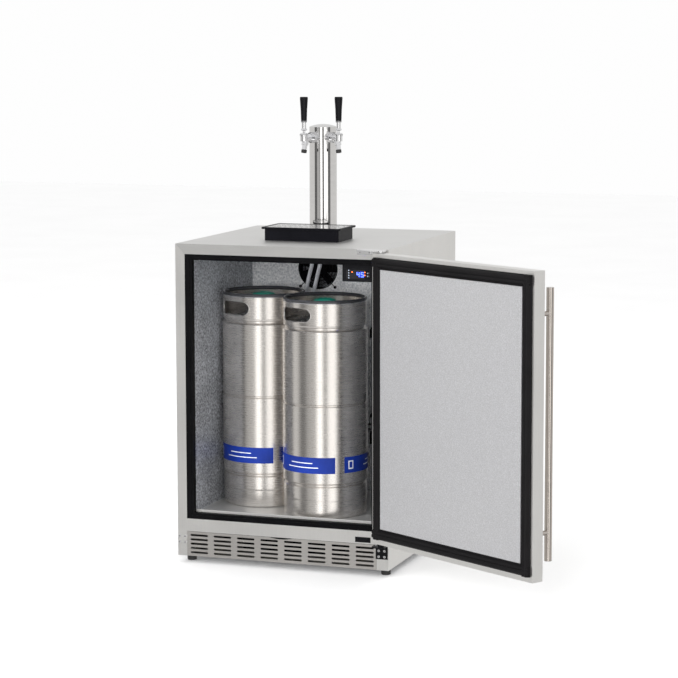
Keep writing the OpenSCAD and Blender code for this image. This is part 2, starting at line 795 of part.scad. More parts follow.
nut_r = 14.5;
nut_l = 17;
nut_y = tower_r + 5;
tail_y = 15;
tail_l = 14;
line_r = 5.5;
module faucet_shanks() {
    color("silver") for (s = [-1, 1]) at_faucet(s) translate([0, 0, shank_z]) difference() {
        union() {
            // Shank through the column's wall
            translate([0, -tail_y + 5, 0]) rotate([90, 0, 0]) cylinder(r = shank_r, h = nut_y + nut_l - tail_y + 5);
            // Lock nut inside the column
            translate([0, -tower_r + tower_wall + 5, 0]) rotate([90, 0, 0]) cylinder(r = 11.5, h = 0.8, $fn = 6);
            // Collar that follows the column's curve
            difference() {
                translate([0, -tower_r + 5, 0]) rotate([90, 0, 0]) cylinder(r = 15, h = 10);
                translate([0, 0, -20]) cylinder(r = tower_r, h = 40, $fn = 96);
            }
            // Coupling nut
            translate([0, -nut_y, 0]) rotate([90, 0, 0]) cylinder(r = nut_r, h = nut_l);
            // Tail bent down to the beer line
            translate([0, -tail_y, -tail_l]) cylinder(r = line_r, h = tail_l, $fn = 24);
        }
        translate([0, -tail_y, 0]) rotate([90, 0, 0]) cylinder(r = 3.2, h = nut_y + nut_l);
        translate([0, -tail_y, -tail_l - past]) cylinder(r = 3.2, h = tail_l + past, $fn = 24);
    }
}

tap_y = nut_y + nut_l + 30;
pivot_z = shank_z + 9;
barrel_r = 10.5;
bonnet_r = 10.5;
bonnet_top = pivot_z + 4.5;
ball_r = 6.5;
stem_r = 3.4;
mouth_z = shank_z - 40;
spout_r = 7;
spout_bore = 5;
module faucet_body(side) {
    y0 = -nut_y - nut_l;
    color("silver") at_faucet(side) difference() {
        union() {
            translate([0, y0, shank_z]) rotate([90, 0, 0]) cylinder(r = 12.5, h = 4);
            translate([0, y0, shank_z]) rotate([90, 0, 0]) cylinder(r = barrel_r, h = 30);
            // Turret for the lever
            translate([0, -tap_y, shank_z - 9]) cylinder(r = barrel_r, h = 9 + 12);
            translate([0, -tap_y, pivot_z - 4]) cylinder(r = bonnet_r + 1.2, h = 5);
            translate([0, -tap_y, pivot_z + 1]) cylinder(r1 = bonnet_r + 1.2, r2 = bonnet_r - 0.6, h = 3.5);
            // Spout
            rod([0, -tap_y + 8, shank_z - 2], [0, -tap_y - 1, mouth_z], spout_r, 48);
            rod([0, -tap_y + 8, shank_z - 2], [0, -tap_y + 3.5, shank_z - 20], spout_r + 2.4, 48);
        }
        // Seat of the ball and the opening above it
        translate([0, -tap_y, pivot_z]) sphere(r = ball_r + run_fit, $fn = 64);
        translate([0, -tap_y, pivot_z]) cylinder(r1 = 4.2, r2 = 9.4, h = 4.6);
        // Beer way: along the barrel and out of the spout
        translate([0, y0 + past, shank_z]) rotate([90, 0, 0]) cylinder(r = 3.2, h = 24);
        rod([0, -tap_y + 8, shank_z - 2], [0, -tap_y - 1 - 0.35, mouth_z - 1.4], spout_bore, 48);
    }
}
module faucet_bodies() { for (s = [-1, 1]) faucet_body(s); }

collar_z = pivot_z + 11;
neck_top = shank_z + 43;
lever_stud = 22;
module tap_lever(side) {
    color("silver") at_faucet(side) translate([0, -tap_y, 0]) {
        translate([0, 0, pivot_z]) sphere(r = ball_r, $fn = 64);
        translate([0, 0, pivot_z]) cylinder(r = stem_r, h = 14, $fn = 32);
        translate([0, 0, collar_z]) cylinder(r1 = 6, r2 = 9, h = 2.5);
        translate([0, 0, collar_z + 2.5]) cylinder(r1 = 9, r2 = 7, h = 4);
        translate([0, 0, collar_z + 6.5]) cylinder(r = 6, h = neck_top - collar_z - 6.5);
        translate([0, 0, neck_top]) cylinder(r = 4, h = lever_stud);
    }
}
module tap_lever_left() { tap_lever(-1); }
module tap_lever_right() { tap_lever(1); }

handle_l = 70;
handle_low_r = 8;
handle_top_r = 11.2;
module tap_handle(side) {
    color("black") at_faucet(side) translate([0, -tap_y, neck_top]) rotate_extrude($fn = 64)
        polygon(concat(
            [[4.02, 0], [handle_low_r - 1, 0], [handle_low_r, 1.2]],
            [[handle_low_r + 1.1, handle_l * 0.5], [handle_top_r - 0.3, handle_l - 9], [handle_top_r, handle_l - 4]],
            [for (a = [20 : 20 : 80]) [handle_top_r - 2 + 2 * cos(a), handle_l - 4 + 4 * sin(a)]],
            [[0, handle_l], [0, lever_stud + 1], [4.02, lever_stud + 1]]
        ));
}
module tap_handle_left() { tap_handle(-1); }
module tap_handle_right() { tap_handle(1); }

// ---------------------------------------------------------------- beer lines

// Where a shank's tail ends, inside the column
function tail(side) =
    let (a = tower_turn + side * faucet_angle)
        [tail_y * sin(a), tower_y - tail_y * cos(a), shank_z - tail_l];
// The route of both lines from the column's foot to the floor behind the kegs
back_run = cover_y - 45;
floor_run = floor_z + 7;
nut_run = floor_z + 13;
usual_rise = 277;
// A height inside the column, given for a column of the usual height
function up(h) = top_z + h * (shank_z - top_z) / usual_rise;
route_mid = [
    [-23, tower_y, top_z + 10], [-25, tower_y + 1, roof_z + 7],
    [-36, tower_y + 6, roof_z - 38], [-52, tower_y + 22, roof_z - 80], [-69, tower_y + 44, roof_z - 120],
    [-92, tower_y + 62, roof_z - 170], [-118, tower_y + 75, floor_z + 460], [-144, back_run - 4, floor_z + 380],
    [-166, back_run, floor_z + 300], [-184, back_run, floor_z + 220], [-194, back_run, floor_z + 150],
    [-198, back_run, floor_z + 95], [-190, back_run, floor_z + 52], [-164, back_run, floor_z + 20],
    [-130, back_run, floor_run], [-95, back_run, floor_run], [-65, back_run, floor_run]
];
left_route = concat(
    [tail(-1), tail(-1) - [0, 0, 22], [-7, tower_y - 12, up(218)], [-10, tower_y - 9, up(190)],
     [-13, tower_y - 6, up(150)], [-16, tower_y - 4, up(105)], [-20, tower_y - 2, up(60)]],
    route_mid,
    [[-40, back_run, nut_run - 1], [-20, back_run, nut_run], [0, back_run, nut_run]]
);
right_shift = [24, 0, 0];
right_route = concat(
    [tail(1), tail(1) - [0, 0, 22], [10, tower_y - 8, up(218)], [8, tower_y - 6, up(190)],
     [6, tower_y - 4, up(150)], [4, tower_y - 2, up(105)], [2, tower_y - 1, up(60)]],
    [for (i = [0 : len(route_mid) - 1]) route_mid[i] + right_shift + [0, min(15, max(0, i - 4) * 3), 0]],
    [[-14, back_run + 15, nut_run - 1], [6, back_run + 15, nut_run], [26, back_run + 15, nut_run]]
);
line_sides = 10;
line_ring = 26;
function unit(v) = v / norm(v);
function at(p, i) = p[max(0, min(len(p) - 1, i))];
// Smooth curve through the points
function curve(p, i, t) =
    0.5 * (2 * at(p, i) + (at(p, i + 1) - at(p, i - 1)) * t
    + (2 * at(p, i - 1) - 5 * at(p, i) + 4 * at(p, i + 1) - at(p, i + 2)) * t * t
    + (3 * at(p, i) - at(p, i - 1) - 3 * at(p, i + 1) + at(p, i + 2)) * t * t * t);
function path_of(p) = [
    for (i = [0 : len(p) - 2])
        let (n = max(1, round(norm(p[i + 1] - p[i]) / line_ring)))
            for (k = [0 : n - 1]) curve(p, i, k / n),
    p[len(p) - 1]
];
module tube(route, r, sides) {
    p = path_of(route);
    n = len(p);
    points = [
        for (i = [0 : n - 1])
            let (d = i == 0 ? [0, 0, -1] : i == n - 1 ? unit(p[n - 1] - p[n - 2]) : unit(p[i + 1] - p[i - 1]))
            let (u = unit(cross(d, [0.3, -1, 0])))
            let (v = cross(d, u))
                for (k = [0 : sides - 1]) p[i] + r * (cos(k * 360 / sides) * u + sin(k * 360 / sides) * v)
    ];
    faces = concat(
        [[for (k = [0 : sides - 1]) k]],
        [for (i = [0 : n - 2], k = [0 : sides - 1])
            let (a = i * sides + k, b = i * sides + (k + 1) % sides) [a, a + sides, b + sides, b]],
        [[for (k = [sides - 1 : -1 : 0]) (n - 1) * sides + k]]
    );
    polyhedron(points = points, faces = faces, convexity = 8);
}
module beer_line_left() { color("silver") tube(left_route, line_r, line_sides); }
module beer_line_right() { color("silver") tube(right_route, line_r, line_sides); }

module line_fitting(route) {
    n = len(route);
    end = route[n - 1];
    d = unit(end - route[n - 2]);
    rod(end, end + d * 14, 4, 32);
    rod(end + d * 14, end + d * 34, 11, 6);
}
module line_fittings() {
    color("silver") {
        line_fitting(left_route);
        line_fitting(right_route);
    }
}

// ---------------------------------------------------------------- door, drawn closed and then swung open

module swing() {
    translate([pin_x, pin_y, 0]) rotate([0, 0, door_open]) translate([-pin_x, -pin_y, 0]) children();
}

skin_t = 1;
band = 12;
bush_r = 7;
bush_l = 12;
module bush_holes(r) {
    translate([pin_x, pin_y, door_top - bush_l - 2]) cylinder(r = r, h = bush_l + 4);
    translate([pin_x, pin_y, door_bottom - 2]) cylinder(r = r, h = bush_l + 6);
}

module door_skin() {
    color("lightgray") swing() difference() {
        box([-door_x, door_x], [door_out, door_in], [door_bottom, door_top]);
        box([-door_x + skin_t, door_x - skin_t], [door_out + skin_t, door_in - skin_t],
            [door_bottom + skin_t, door_top - skin_t]);
        box([-door_x + band, door_x - band], [door_in - 2, door_in + 1], [door_bottom + band + 5, door_top - band]);
        bush_holes(bush_r);
    }
}

panel_rise = 6;
gasket_x = door_x - 7;
gasket_top = door_top - 9.5;
gasket_bottom = door_bottom + 14;
panel_x = gasket_x - gasket_w - 0.5;
panel_top = gasket_top - gasket_w - 0.5;
panel_bottom = gasket_bottom + gasket_w + 0.5;
module door_foam() {
    color("khaki") swing() difference() {
        union() {
            box([-door_x + skin_t, door_x - skin_t], [door_out + skin_t, door_in - skin_t],
                [door_bottom + skin_t, door_top - skin_t]);
            box([-panel_x + 1, panel_x - 1], [door_in - skin_t - 0.5, door_in + panel_rise - 1],
                [panel_bottom + 1, panel_top - 1]);
        }
        bush_holes(bush_r);
    }
}

module door_liner() {
    color("gainsboro") swing() difference() {
        union() {
            box([-panel_x, panel_x], [door_in - skin_t, door_in + panel_rise], [panel_bottom, panel_top]);
            box([-door_x + band, door_x - band], [door_in - skin_t, door_in],
                [door_bottom + band + 5, door_top - band]);
        }
        box([-panel_x + 1, panel_x - 1], [door_in - skin_t - past, door_in + panel_rise - 1],
            [panel_bottom + 1, panel_top - 1]);
    }
}

gasket_h = 10;
// One side of the gasket's profile: a flange, a raised bellows and a groove
module gasket_profile() {
    polygon([
        [0, 0], [gasket_w, 0], [gasket_w, 3], [gasket_w - 4, 3.4], [gasket_w - 6, gasket_h - 3],
        [gasket_w - 9, gasket_h], [gasket_w - 13, gasket_h - 0.6], [gasket_w - 15, gasket_h - 2.4],
        [gasket_w - 17, gasket_h - 0.6], [7, gasket_h], [4, gasket_h - 2], [2, 4], [0, 2.5]
    ]);
}
// A straight run with mitred ends
module gasket_run(length) {
    difference() {
        translate([-length / 2, 0, 0]) rotate([90, 0, 90]) linear_extrude(length) gasket_profile();
        for (s = [-1, 1])
            translate([s * length / 2, 0, -past]) rotate([0, 0, s > 0 ? 45 : 135])
                translate([0, s > 0 ? -2 * gasket_w : 0, 0])
                    cube([3 * gasket_w, 2 * gasket_w, gasket_h + 2 * past]);
    }
}
module door_gasket() {
    w = 2 * gasket_x;
    h = gasket_top - gasket_bottom;
    color("black") swing()
        translate([0, door_in, (gasket_top + gasket_bottom) / 2]) rotate([-90, 0, 0])
            intersection() {
                translate([-w / 2, -h / 2, 0]) cube([w, h, gasket_h + 1]);
                union() {
                    for (a = [0, 180]) rotate([0, 0, a]) translate([0, -h / 2, 0]) gasket_run(w);
                    for (a = [90, 270]) rotate([0, 0, a]) translate([0, -w / 2, 0]) gasket_run(h);
                }
            }
}

bar_x = -door_x + 30;
bar_z = door_top - 47 - bar_l / 2;
post_r = 6;
post_in = 64;
module door_handle() {
    y = door_out - bar_off;
    color("silver") swing() {
        translate([bar_x, y, bar_z - bar_l / 2]) cylinder(d = bar_d, h = bar_l);
        for (z = [bar_z + bar_l / 2 - post_in, bar_z - bar_l / 2 + post_in + 8])
            rod([bar_x, y, z], [bar_x, door_out, z], post_r, 32);
    }
}

module hinge_bushes() {
    color("white") swing() difference() {
        union() {
            translate([pin_x, pin_y, door_top - bush_l]) cylinder(r = bush_r, h = bush_l);
            translate([pin_x, pin_y, door_bottom]) cylinder(r = bush_r, h = bush_l + 2);
        }
        translate([pin_x, pin_y, door_bottom - past]) cylinder(r = pin_r + run_fit, h = door_h + 2 * past);
    }
}

// ---------------------------------------------------------------- drip tray

tray_lip = 7;
tray_gap = 1.4;
tray_y = tower_y - flange_r - tray_gap - tray_d / 2 + tray_lip;
tray_wall = 2.5;
grate_t = 2;
module rounded_plate(w, d, r) {
    square([w - 2 * r, d], center = true);
    square([w, d - 2 * r], center = true);
    for (sx = [-1, 1], sy = [-1, 1]) translate([sx * (w / 2 - r), sy * (d / 2 - r)]) circle(r = r);
}
module drip_tray() {
    w = tray_w - 2 * tray_lip;
    d = tray_d - 2 * tray_lip;
    color("black") translate([0, tray_y, top_z]) difference() {
        union() {
            linear_extrude(tray_h) rounded_plate(w, d, 5);
            translate([0, 0, tray_h - 5]) linear_extrude(5) rounded_plate(tray_w, tray_d, 6);
        }
        translate([0, 0, tray_wall]) linear_extrude(tray_h) rounded_plate(w - 2 * tray_wall - 8, d - 2 * tray_wall - 8, 4);
        translate([0, 0, tray_h - grate_t - 0.5]) linear_extrude(tray_h)
            rounded_plate(w - 2 * tray_wall + 4, d - 2 * tray_wall + 4, 4);
    }
}

grate_slots = 13;
grate_rows = 3;
module drip_grate() {
    w = tray_w - 2 * tray_lip - 2 * tray_wall + 3;
    d = tray_d - 2 * tray_lip - 2 * tray_wall + 3;
    row = (d - 12) / grate_rows;
    color("silver") translate([0, tray_y, top_z + tray_h - grate_t - 0.5]) linear_extrude(grate_t)
        difference() {
            rounded_plate(w, d, 3.5);
            for (j = [0 : grate_rows - 1], i = [0 : grate_slots - 1])
                translate([(i - (grate_slots - 1) / 2) * (w - 22) / (grate_slots - 1), (j - (grate_rows - 1) / 2) * row])
                    rotate([0, 0, 62]) slot_shape(row - 4, 5);
        }
}

// ---------------------------------------------------------------- kegs

keg_r = keg_d / 2;
keg_base = floor_z + 1 + lie;
keg_left_at = [-in_x + keg_r + 4, front_y + 246];
keg_apart = keg_d + 1.33;
keg_right_at = keg_left_at + keg_apart * [cos(23.49), -sin(23.49)];
chime_h = 62;
chime_foot = 26;
neck_r = 26;
head_z = keg_h - chime_h + 12;
shoulder_z = head_z - 14;
seam_z = keg_h / 2 + 10;
// Outline of the pressure vessel, grown inwards by t
function vessel(t) = [
    [0, chime_foot + t],
    for (a = [-90 : 15 : 0]) [keg_r - 26 + (24 - t) * cos(a), chime_foot + 24 + (24 - t) * sin(a)],
    [keg_r - 2 - t, 84], [keg_r - 6 - t, 87], [keg_r - 6 - t, 91], [keg_r - t, 95],
    [keg_r - t, seam_z - 3], [keg_r - 3 - t, seam_z - 1], [keg_r - 3 - t, seam_z + 2], [keg_r - t, seam_z + 4],
    [keg_r - t, shoulder_z - 22], [keg_r - 6 - t, shoulder_z - 17], [keg_r - 6 - t, shoulder_z - 12],
    for (a = [0 : 15 : 75]) [keg_r - 12 + (10 - t) * cos(a), shoulder_z - 10 + (10 - t) * sin(a)],
    [neck_r + 6, head_z + 2 - t], [0, head_z + 2 - t]
];
module chime_ring(r_out, z0, z1, roll) {
    translate([0, 0, z0]) difference() {
        cylinder(r = r_out, h = z1 - z0, $fn = 96);
        translate([0, 0, -past]) cylinder(r = r_out - 2.2, h = z1 - z0 + 2 * past, $fn = 96);
    }
    translate([0, 0, roll]) rotate_extrude($fn = 96) translate([r_out - 3.5, 0]) circle(r = 3.5, $fn = 24);
}
hand_w = 110;
hand_h = 38;
module keg(at) {
    color("silver") translate([at[0], at[1], keg_base]) difference() {
        union() {
            rotate_extrude($fn = 96) polygon(vessel(0));
            translate([0, 0, head_z - 4]) cylinder(r = neck_r + 3, h = 12);
        }
        rotate_extrude($fn = 96) polygon(vessel(keg_t));
        translate([0, 0, head_z - 10]) cylinder(r = neck_r, h = 30);
    }
}
module keg_left() { keg(keg_left_at); }
module keg_right() { keg(keg_right_at); }

// The rings that a keg stands on and is carried by, seated on the vessel's shoulders
module keg_chimes(at) {
    color("silver") translate([at[0], at[1], keg_base]) difference() {
        union() {
            chime_ring(keg_r - 2, head_z - 20, keg_h - 4, keg_h - 3.5);
            chime_ring(keg_r - 2, 4, chime_foot + 20, 3.5);
        }
        rotate_extrude($fn = 96) polygon(vessel(-0.05));
        // Two hand holes through the top ring
        for (a = [-119, 61])
            rotate([0, 0, a]) translate([keg_r - 26, 0, keg_h - 42]) rotate([90, 0, 90])
                linear_extrude(32) slot_shape(hand_w, hand_h);
    }
}
module keg_chimes_left() { keg_chimes(keg_left_at); }
module keg_chimes_right() { keg_chimes(keg_right_at); }

module keg_valve(at) {
    color("seagreen") translate([at[0], at[1], keg_base]) {
        translate([0, 0, head_z - 10]) cylinder(r = neck_r - 0.1, h = 22);
        // Dust cap
        translate([0, 0, head_z + 12]) cylinder(r = 31, h = 27);
        translate([0, 0, head_z + 39]) cylinder(r1 = 31, r2 = 28, h = 3);
        translate([0, 0, chime_foot + 12]) cylinder(r = 7, h = head_z - chime_foot - 20);
    }
}
module keg_valve_left() { keg_valve(keg_left_at); }
module keg_valve_right() { keg_valve(keg_right_at); }

left_side_panel();
right_side_panel();
top_panel();
back_panel();
base_pan();
insulation();
inner_liner();
floor_sheet();
evaporator_cover();
breaker_frame();
bottom_rail();
kick_grille();
top_hinge();
bottom_hinge();
screws();
switch_housing();
controller_housing();
evaporator_coil();
fan_frames();
fan_guard();
compressor();
condenser();
refrigerant_pipes();
drain_pan();
power_inlet();
gas_line_grommet();
tower_column();
tower_cap();
faucet_shanks();
faucet_bodies();
beer_line_left();
beer_line_right();
line_fittings();
door_skin();
door_foam();
door_liner();
door_gasket();
door_handle();
hinge_bushes();
tap_lever_left();
tap_lever_right();
tap_handle_left();
tap_handle_right();
drip_tray();
drip_grate();
evaporator_fan_rotor();
condenser_fan_rotor();
power_rocker();
key_up();
key_down();
keg_left();
keg_right();
keg_chimes_left();
keg_chimes_right();
keg_valve_left();
keg_valve_right();
foot_front_left();
foot_front_right();
foot_back_left();
foot_back_right();
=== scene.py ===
import math
import random

import bmesh
import bpy
from mathutils import Matrix, Vector


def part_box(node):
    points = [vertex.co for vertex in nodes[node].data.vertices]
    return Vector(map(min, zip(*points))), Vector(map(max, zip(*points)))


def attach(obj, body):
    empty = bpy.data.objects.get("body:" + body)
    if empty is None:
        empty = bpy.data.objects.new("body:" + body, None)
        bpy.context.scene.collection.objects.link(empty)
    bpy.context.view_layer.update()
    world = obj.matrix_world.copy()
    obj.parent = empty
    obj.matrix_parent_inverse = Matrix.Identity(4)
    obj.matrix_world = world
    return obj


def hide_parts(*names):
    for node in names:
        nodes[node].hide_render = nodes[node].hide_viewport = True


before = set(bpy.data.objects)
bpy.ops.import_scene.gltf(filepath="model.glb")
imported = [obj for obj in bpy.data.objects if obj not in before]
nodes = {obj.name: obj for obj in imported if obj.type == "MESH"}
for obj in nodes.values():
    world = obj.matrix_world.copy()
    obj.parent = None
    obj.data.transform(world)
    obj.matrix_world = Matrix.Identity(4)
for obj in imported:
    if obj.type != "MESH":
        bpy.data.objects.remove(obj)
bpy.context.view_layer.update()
scene = bpy.context.scene
rng = random.Random(7)

# ------------------------------------------------------------------ camera
YAW, PITCH, ROLL = math.radians(19.862), math.radians(7.018), math.radians(-0.183)
EYE = Vector((2.25951, -6.28966, 1.47179))
fwd = Vector((-math.sin(YAW) * math.cos(PITCH), math.cos(YAW) * math.cos(PITCH), -math.sin(PITCH)))
right = Vector((math.cos(YAW), math.sin(YAW), 0))
up = right.cross(fwd)
cam_x = right * math.cos(ROLL) + up * math.sin(ROLL)
cam_y = -right * math.sin(ROLL) + up * math.cos(ROLL)
cam_data = bpy.data.cameras.new("camera")
cam_data.lens = 127.86
cam_data.sensor_width = 36
cam_data.shift_x, cam_data.shift_y = 0.03528, -0.02915
cam_data.clip_end = 60
camera = bpy.data.objects.new("camera", cam_data)
scene.collection.objects.link(camera)
turn = Matrix((cam_x, cam_y, -fwd)).transposed().to_4x4()
camera.matrix_world = Matrix.Translation(EYE) @ turn
scene.camera = camera
VIEW_AZ = math.degrees(math.atan2(-fwd.y, -fwd.x))


# ------------------------------------------------------------------ node helpers
class Shader:
    """A material's node tree, with short ways to add nodes."""

    def __init__(self, name):
        self.mat = bpy.data.materials.new(name)
        self.mat.use_nodes = True
        self.tree = self.mat.node_tree
        self.bsdf = self.tree.nodes["Principled BSDF"]

    def add(self, kind, **values):
        node = self.tree.nodes.new(kind)
        for key, value in values.items():
            setattr(node, key, value)
        return node

    def link(self, a, b):
        self.tree.links.new(a, b)

    def put(self, **values):
        for key, value in values.items():
            self.bsdf.inputs[key.replace("_", " ")].default_value = value

    def coords(self, scale):
        tex = self.add("ShaderNodeTexCoord")
        mapping = self.add("ShaderNodeMapping")
        mapping.inputs["Scale"].default_value = scale
        self.link(tex.outputs["Object"], mapping.inputs["Vector"])
        return mapping.outputs["Vector"]

    def noise(self, vector, scale, detail=3.0, rough=0.55):
        node = self.add("ShaderNodeTexNoise")
        node.inputs["Scale"].default_value = scale
        node.inputs["Detail"].default_value = detail
        node.inputs["Roughness"].default_value = rough
        self.link(vector, node.inputs["Vector"])
        return node.outputs["Fac"]

    def ramp(self, fac, stops):
        node = self.add("ShaderNodeValToRGB")
        ramp = node.color_ramp
        while len(ramp.elements) < len(stops):
            ramp.elements.new(0.5)
        for element, (place, colour) in zip(ramp.elements, stops):
            element.position = place
            if not hasattr(colour, "__len__"):
                colour = (colour, colour, colour)
            element.color = (*colour, 1)
        self.link(fac, node.inputs["Fac"])
        return node.outputs["Color"]

    def mix(self, a, b, fac, kind="MIX"):
        node = self.add("ShaderNodeMix", data_type="RGBA", blend_type=kind)
        for value, key in ((a, "A"), (b, "B")):
            socket = [s for s in node.inputs if s.name == key and s.type == "RGBA"][0]
            if hasattr(value, "is_linked"):
                self.link(value, socket)
            else:
                socket.default_value = (*value, 1)
        factor = [s for s in node.inputs if s.name == "Factor" and s.type == "VALUE"][0]
        if hasattr(fac, "is_linked"):
            self.link(fac, factor)
        else:
            factor.default_value = fac
        return [s for s in node.outputs if s.type == "RGBA"][0]

    def math(self, op, a, b=None):
        node = self.add("ShaderNodeMath", operation=op)
        for k, value in enumerate((a, b)):
            if value is None:
                continue
            if hasattr(value, "is_linked"):
                self.link(value, node.inputs[k])
            else:
                node.inputs[k].default_value = value
        return node.outputs[0]

    def bump(self, height, strength, distance, edge=0.0):
        node = self.add("ShaderNodeBump")
        node.inputs["Strength"].default_value = strength
        node.inputs["Distance"].default_value = distance
        self.link(height, node.inputs["Height"])
        if edge:
            soft = self.add("ShaderNodeBevel", samples=4)
            soft.inputs["Radius"].default_value = edge
            self.link(soft.outputs["Normal"], node.inputs["Normal"])
        self.link(node.outputs["Normal"], self.bsdf.inputs["Normal"])

    def paint_edge_highlight(self, colour, edge_highlight_colour, radius=0.0012):
        """Paints a highlight: lightens the colour where the surface turns sharply, in noise
        patches.
        """
        soft = self.add("ShaderNodeBevel", samples=4)
        soft.inputs["Radius"].default_value = radius
        geo = self.add("ShaderNodeNewGeometry")
        dot = self.add("ShaderNodeVectorMath", operation="DOT_PRODUCT")
        self.link(soft.outputs["Normal"], dot.inputs[0])
        self.link(geo.outputs["Normal"], dot.inputs[1])
        sharp_edge_mask = self.ramp(dot.outputs["Value"], [(0.75, 1.0), (0.97, 0.0)])
        highlight_patch_noise = self.noise(self.coords((1, 1, 1)), 90, 4)
        amount = self.math("MULTIPLY", sharp_edge_mask, self.ramp(highlight_patch_noise, [(0.42, 0.0), (0.62, 1.0)]))
        return self.mix(colour, edge_highlight_colour, amount)


def brushed(name, colour, rough, grain, metallic=1.0, strength=0.10, edge=0.0008,
            spread=0.06, blotch=0.05):
    """Steel with a hairline grain.

    grain is the coordinate scale: small along the lines, large across them.
    """
    s = Shader(name)
    lines = s.noise(s.coords(grain), 1.0, 5.0, 0.7)
    cloud = s.noise(s.coords((1, 1, 1)), 6.0, 3.0)
    speck = s.noise(s.coords((1, 1, 1)), 900.0, 2.0)
    low = tuple(c * (1 - blotch) for c in colour)
    high = tuple(min(1.0, c * (1 + blotch)) for c in colour)
    base = s.mix(s.ramp(cloud, [(0.35, low), (0.65, high)]),
                 s.ramp(lines, [(0.3, low), (0.7, high)]), 0.5)
    base = s.mix(base, s.ramp(speck, [(0.35, 0.86), (0.65, 1.0)]), 0.35, "MULTIPLY")
    s.link(base, s.bsdf.inputs["Base Color"])
    both = s.mix(lines, cloud, 0.35)
    s.link(s.ramp(both, [(0.3, rough - spread), (0.7, rough + spread)]),
           s.bsdf.inputs["Roughness"])
    s.put(Metallic=metallic)
    s.bump(s.mix(lines, speck, 0.3), strength, 0.0003, edge)
    return s.mat


def embossed(name, low, high, rough=0.38, scale=430.0, metallic=0.85, depth=0.0006,
             cloudy=0.25, edge=0.0):
    """Stucco-embossed aluminium sheet: small smooth pebbles, with painted shade in their dents and
    painted highlight on their crowns.
    """
    s = Shader(name)
    where = s.coords((1, 1, 1))
    pebbles = s.add("ShaderNodeTexVoronoi", feature="SMOOTH_F1")
    pebbles.inputs["Scale"].default_value = scale
    pebbles.inputs["Randomness"].default_value = 1.0
    s.link(where, pebbles.inputs["Vector"])
    noise = s.noise(where, scale * 0.8, 3.0, 0.6)
    cloud = s.noise(where, 5.0, 3.0)
    height = s.mix(pebbles.outputs["Distance"], noise, 0.45)
    # The colour follows the pebble height: the dents are painted darker as painted shade and the
    # crowns lighter as painted highlight, mixed with random clouding.
    tone = s.mix(height, cloud, cloudy)
    s.link(s.ramp(tone, [(0.30, low), (0.62, high)]), s.bsdf.inputs["Base Color"])
    s.link(s.ramp(cloud, [(0.3, rough - 0.05), (0.7, rough + 0.08)]), s.bsdf.inputs["Roughness"])
    s.put(Metallic=metallic)
    s.bump(height, 0.55, depth, edge)
    return s.mat


def polished(name, colour, rough, edge=0.0006):
    """Chrome or polished steel with faint smears and pits."""
    s = Shader(name)
    where = s.coords((1, 1, 1))
    smear = s.noise(s.coords((8, 8, 30)), 3.0, 4.0)
    pits = s.noise(where, 700.0, 2.0)
    low = tuple(c * 0.93 for c in colour)
    s.link(s.ramp(smear, [(0.3, low), (0.7, colour)]), s.bsdf.inputs["Base Color"])
    s.link(s.ramp(smear, [(0.35, rough), (0.75, rough + 0.07)]), s.bsdf.inputs["Roughness"])
    s.put(Metallic=1.0)
    s.bump(pits, 0.03, 0.0002, edge)
    return s.mat


def plastic(name, colour, rough, grain=600.0, strength=0.15, edge_highlight_colour=None, edge=0.001,
            coat=0.0, spec=0.5):
    """Moulded plastic or rubber with a fine grain, faint clouding and, when given a colour for it,
    a painted highlight on sharp edges.
    """
    s = Shader(name)
    where = s.coords((1, 1, 1))
    fine = s.noise(where, grain, 3.0, 0.6)
    cloud = s.noise(where, 12.0, 3.0)
    low = tuple(c * 0.8 for c in colour)
    high = tuple(min(1.0, c * 1.25) for c in colour)
    base = s.ramp(cloud, [(0.3, low), (0.7, high)])
    # A lighter colour on sharp edges, in noise patches, is a painted highlight.
    if edge_highlight_colour:
        base = s.paint_edge_highlight(base, edge_highlight_colour)
    s.link(base, s.bsdf.inputs["Base Color"])
    s.link(s.ramp(s.mix(fine, cloud, 0.5), [(0.3, rough - 0.06), (0.7, rough + 0.08)]),
           s.bsdf.inputs["Roughness"])
    s.put(Coat_Weight=coat, Coat_Roughness=0.08, Specular_IOR_Level=spec)
    s.bump(fine, strength, 0.0003, edge)
    return s.mat


def glowing(name, colour, strength):
    """A lit segment behind a dark window."""
    s = Shader(name)
    cell = s.noise(s.coords((1, 1, 1)), 1500.0, 1.0)
    dim = tuple(c * 0.75 for c in colour)
    s.link(s.ramp(cell, [(0.2, dim), (0.8, colour)]), s.bsdf.inputs["Emission Color"])
    s.put(Base_Color=(*colour, 1), Roughness=0.4, Emission_Strength=strength)
    return s.mat


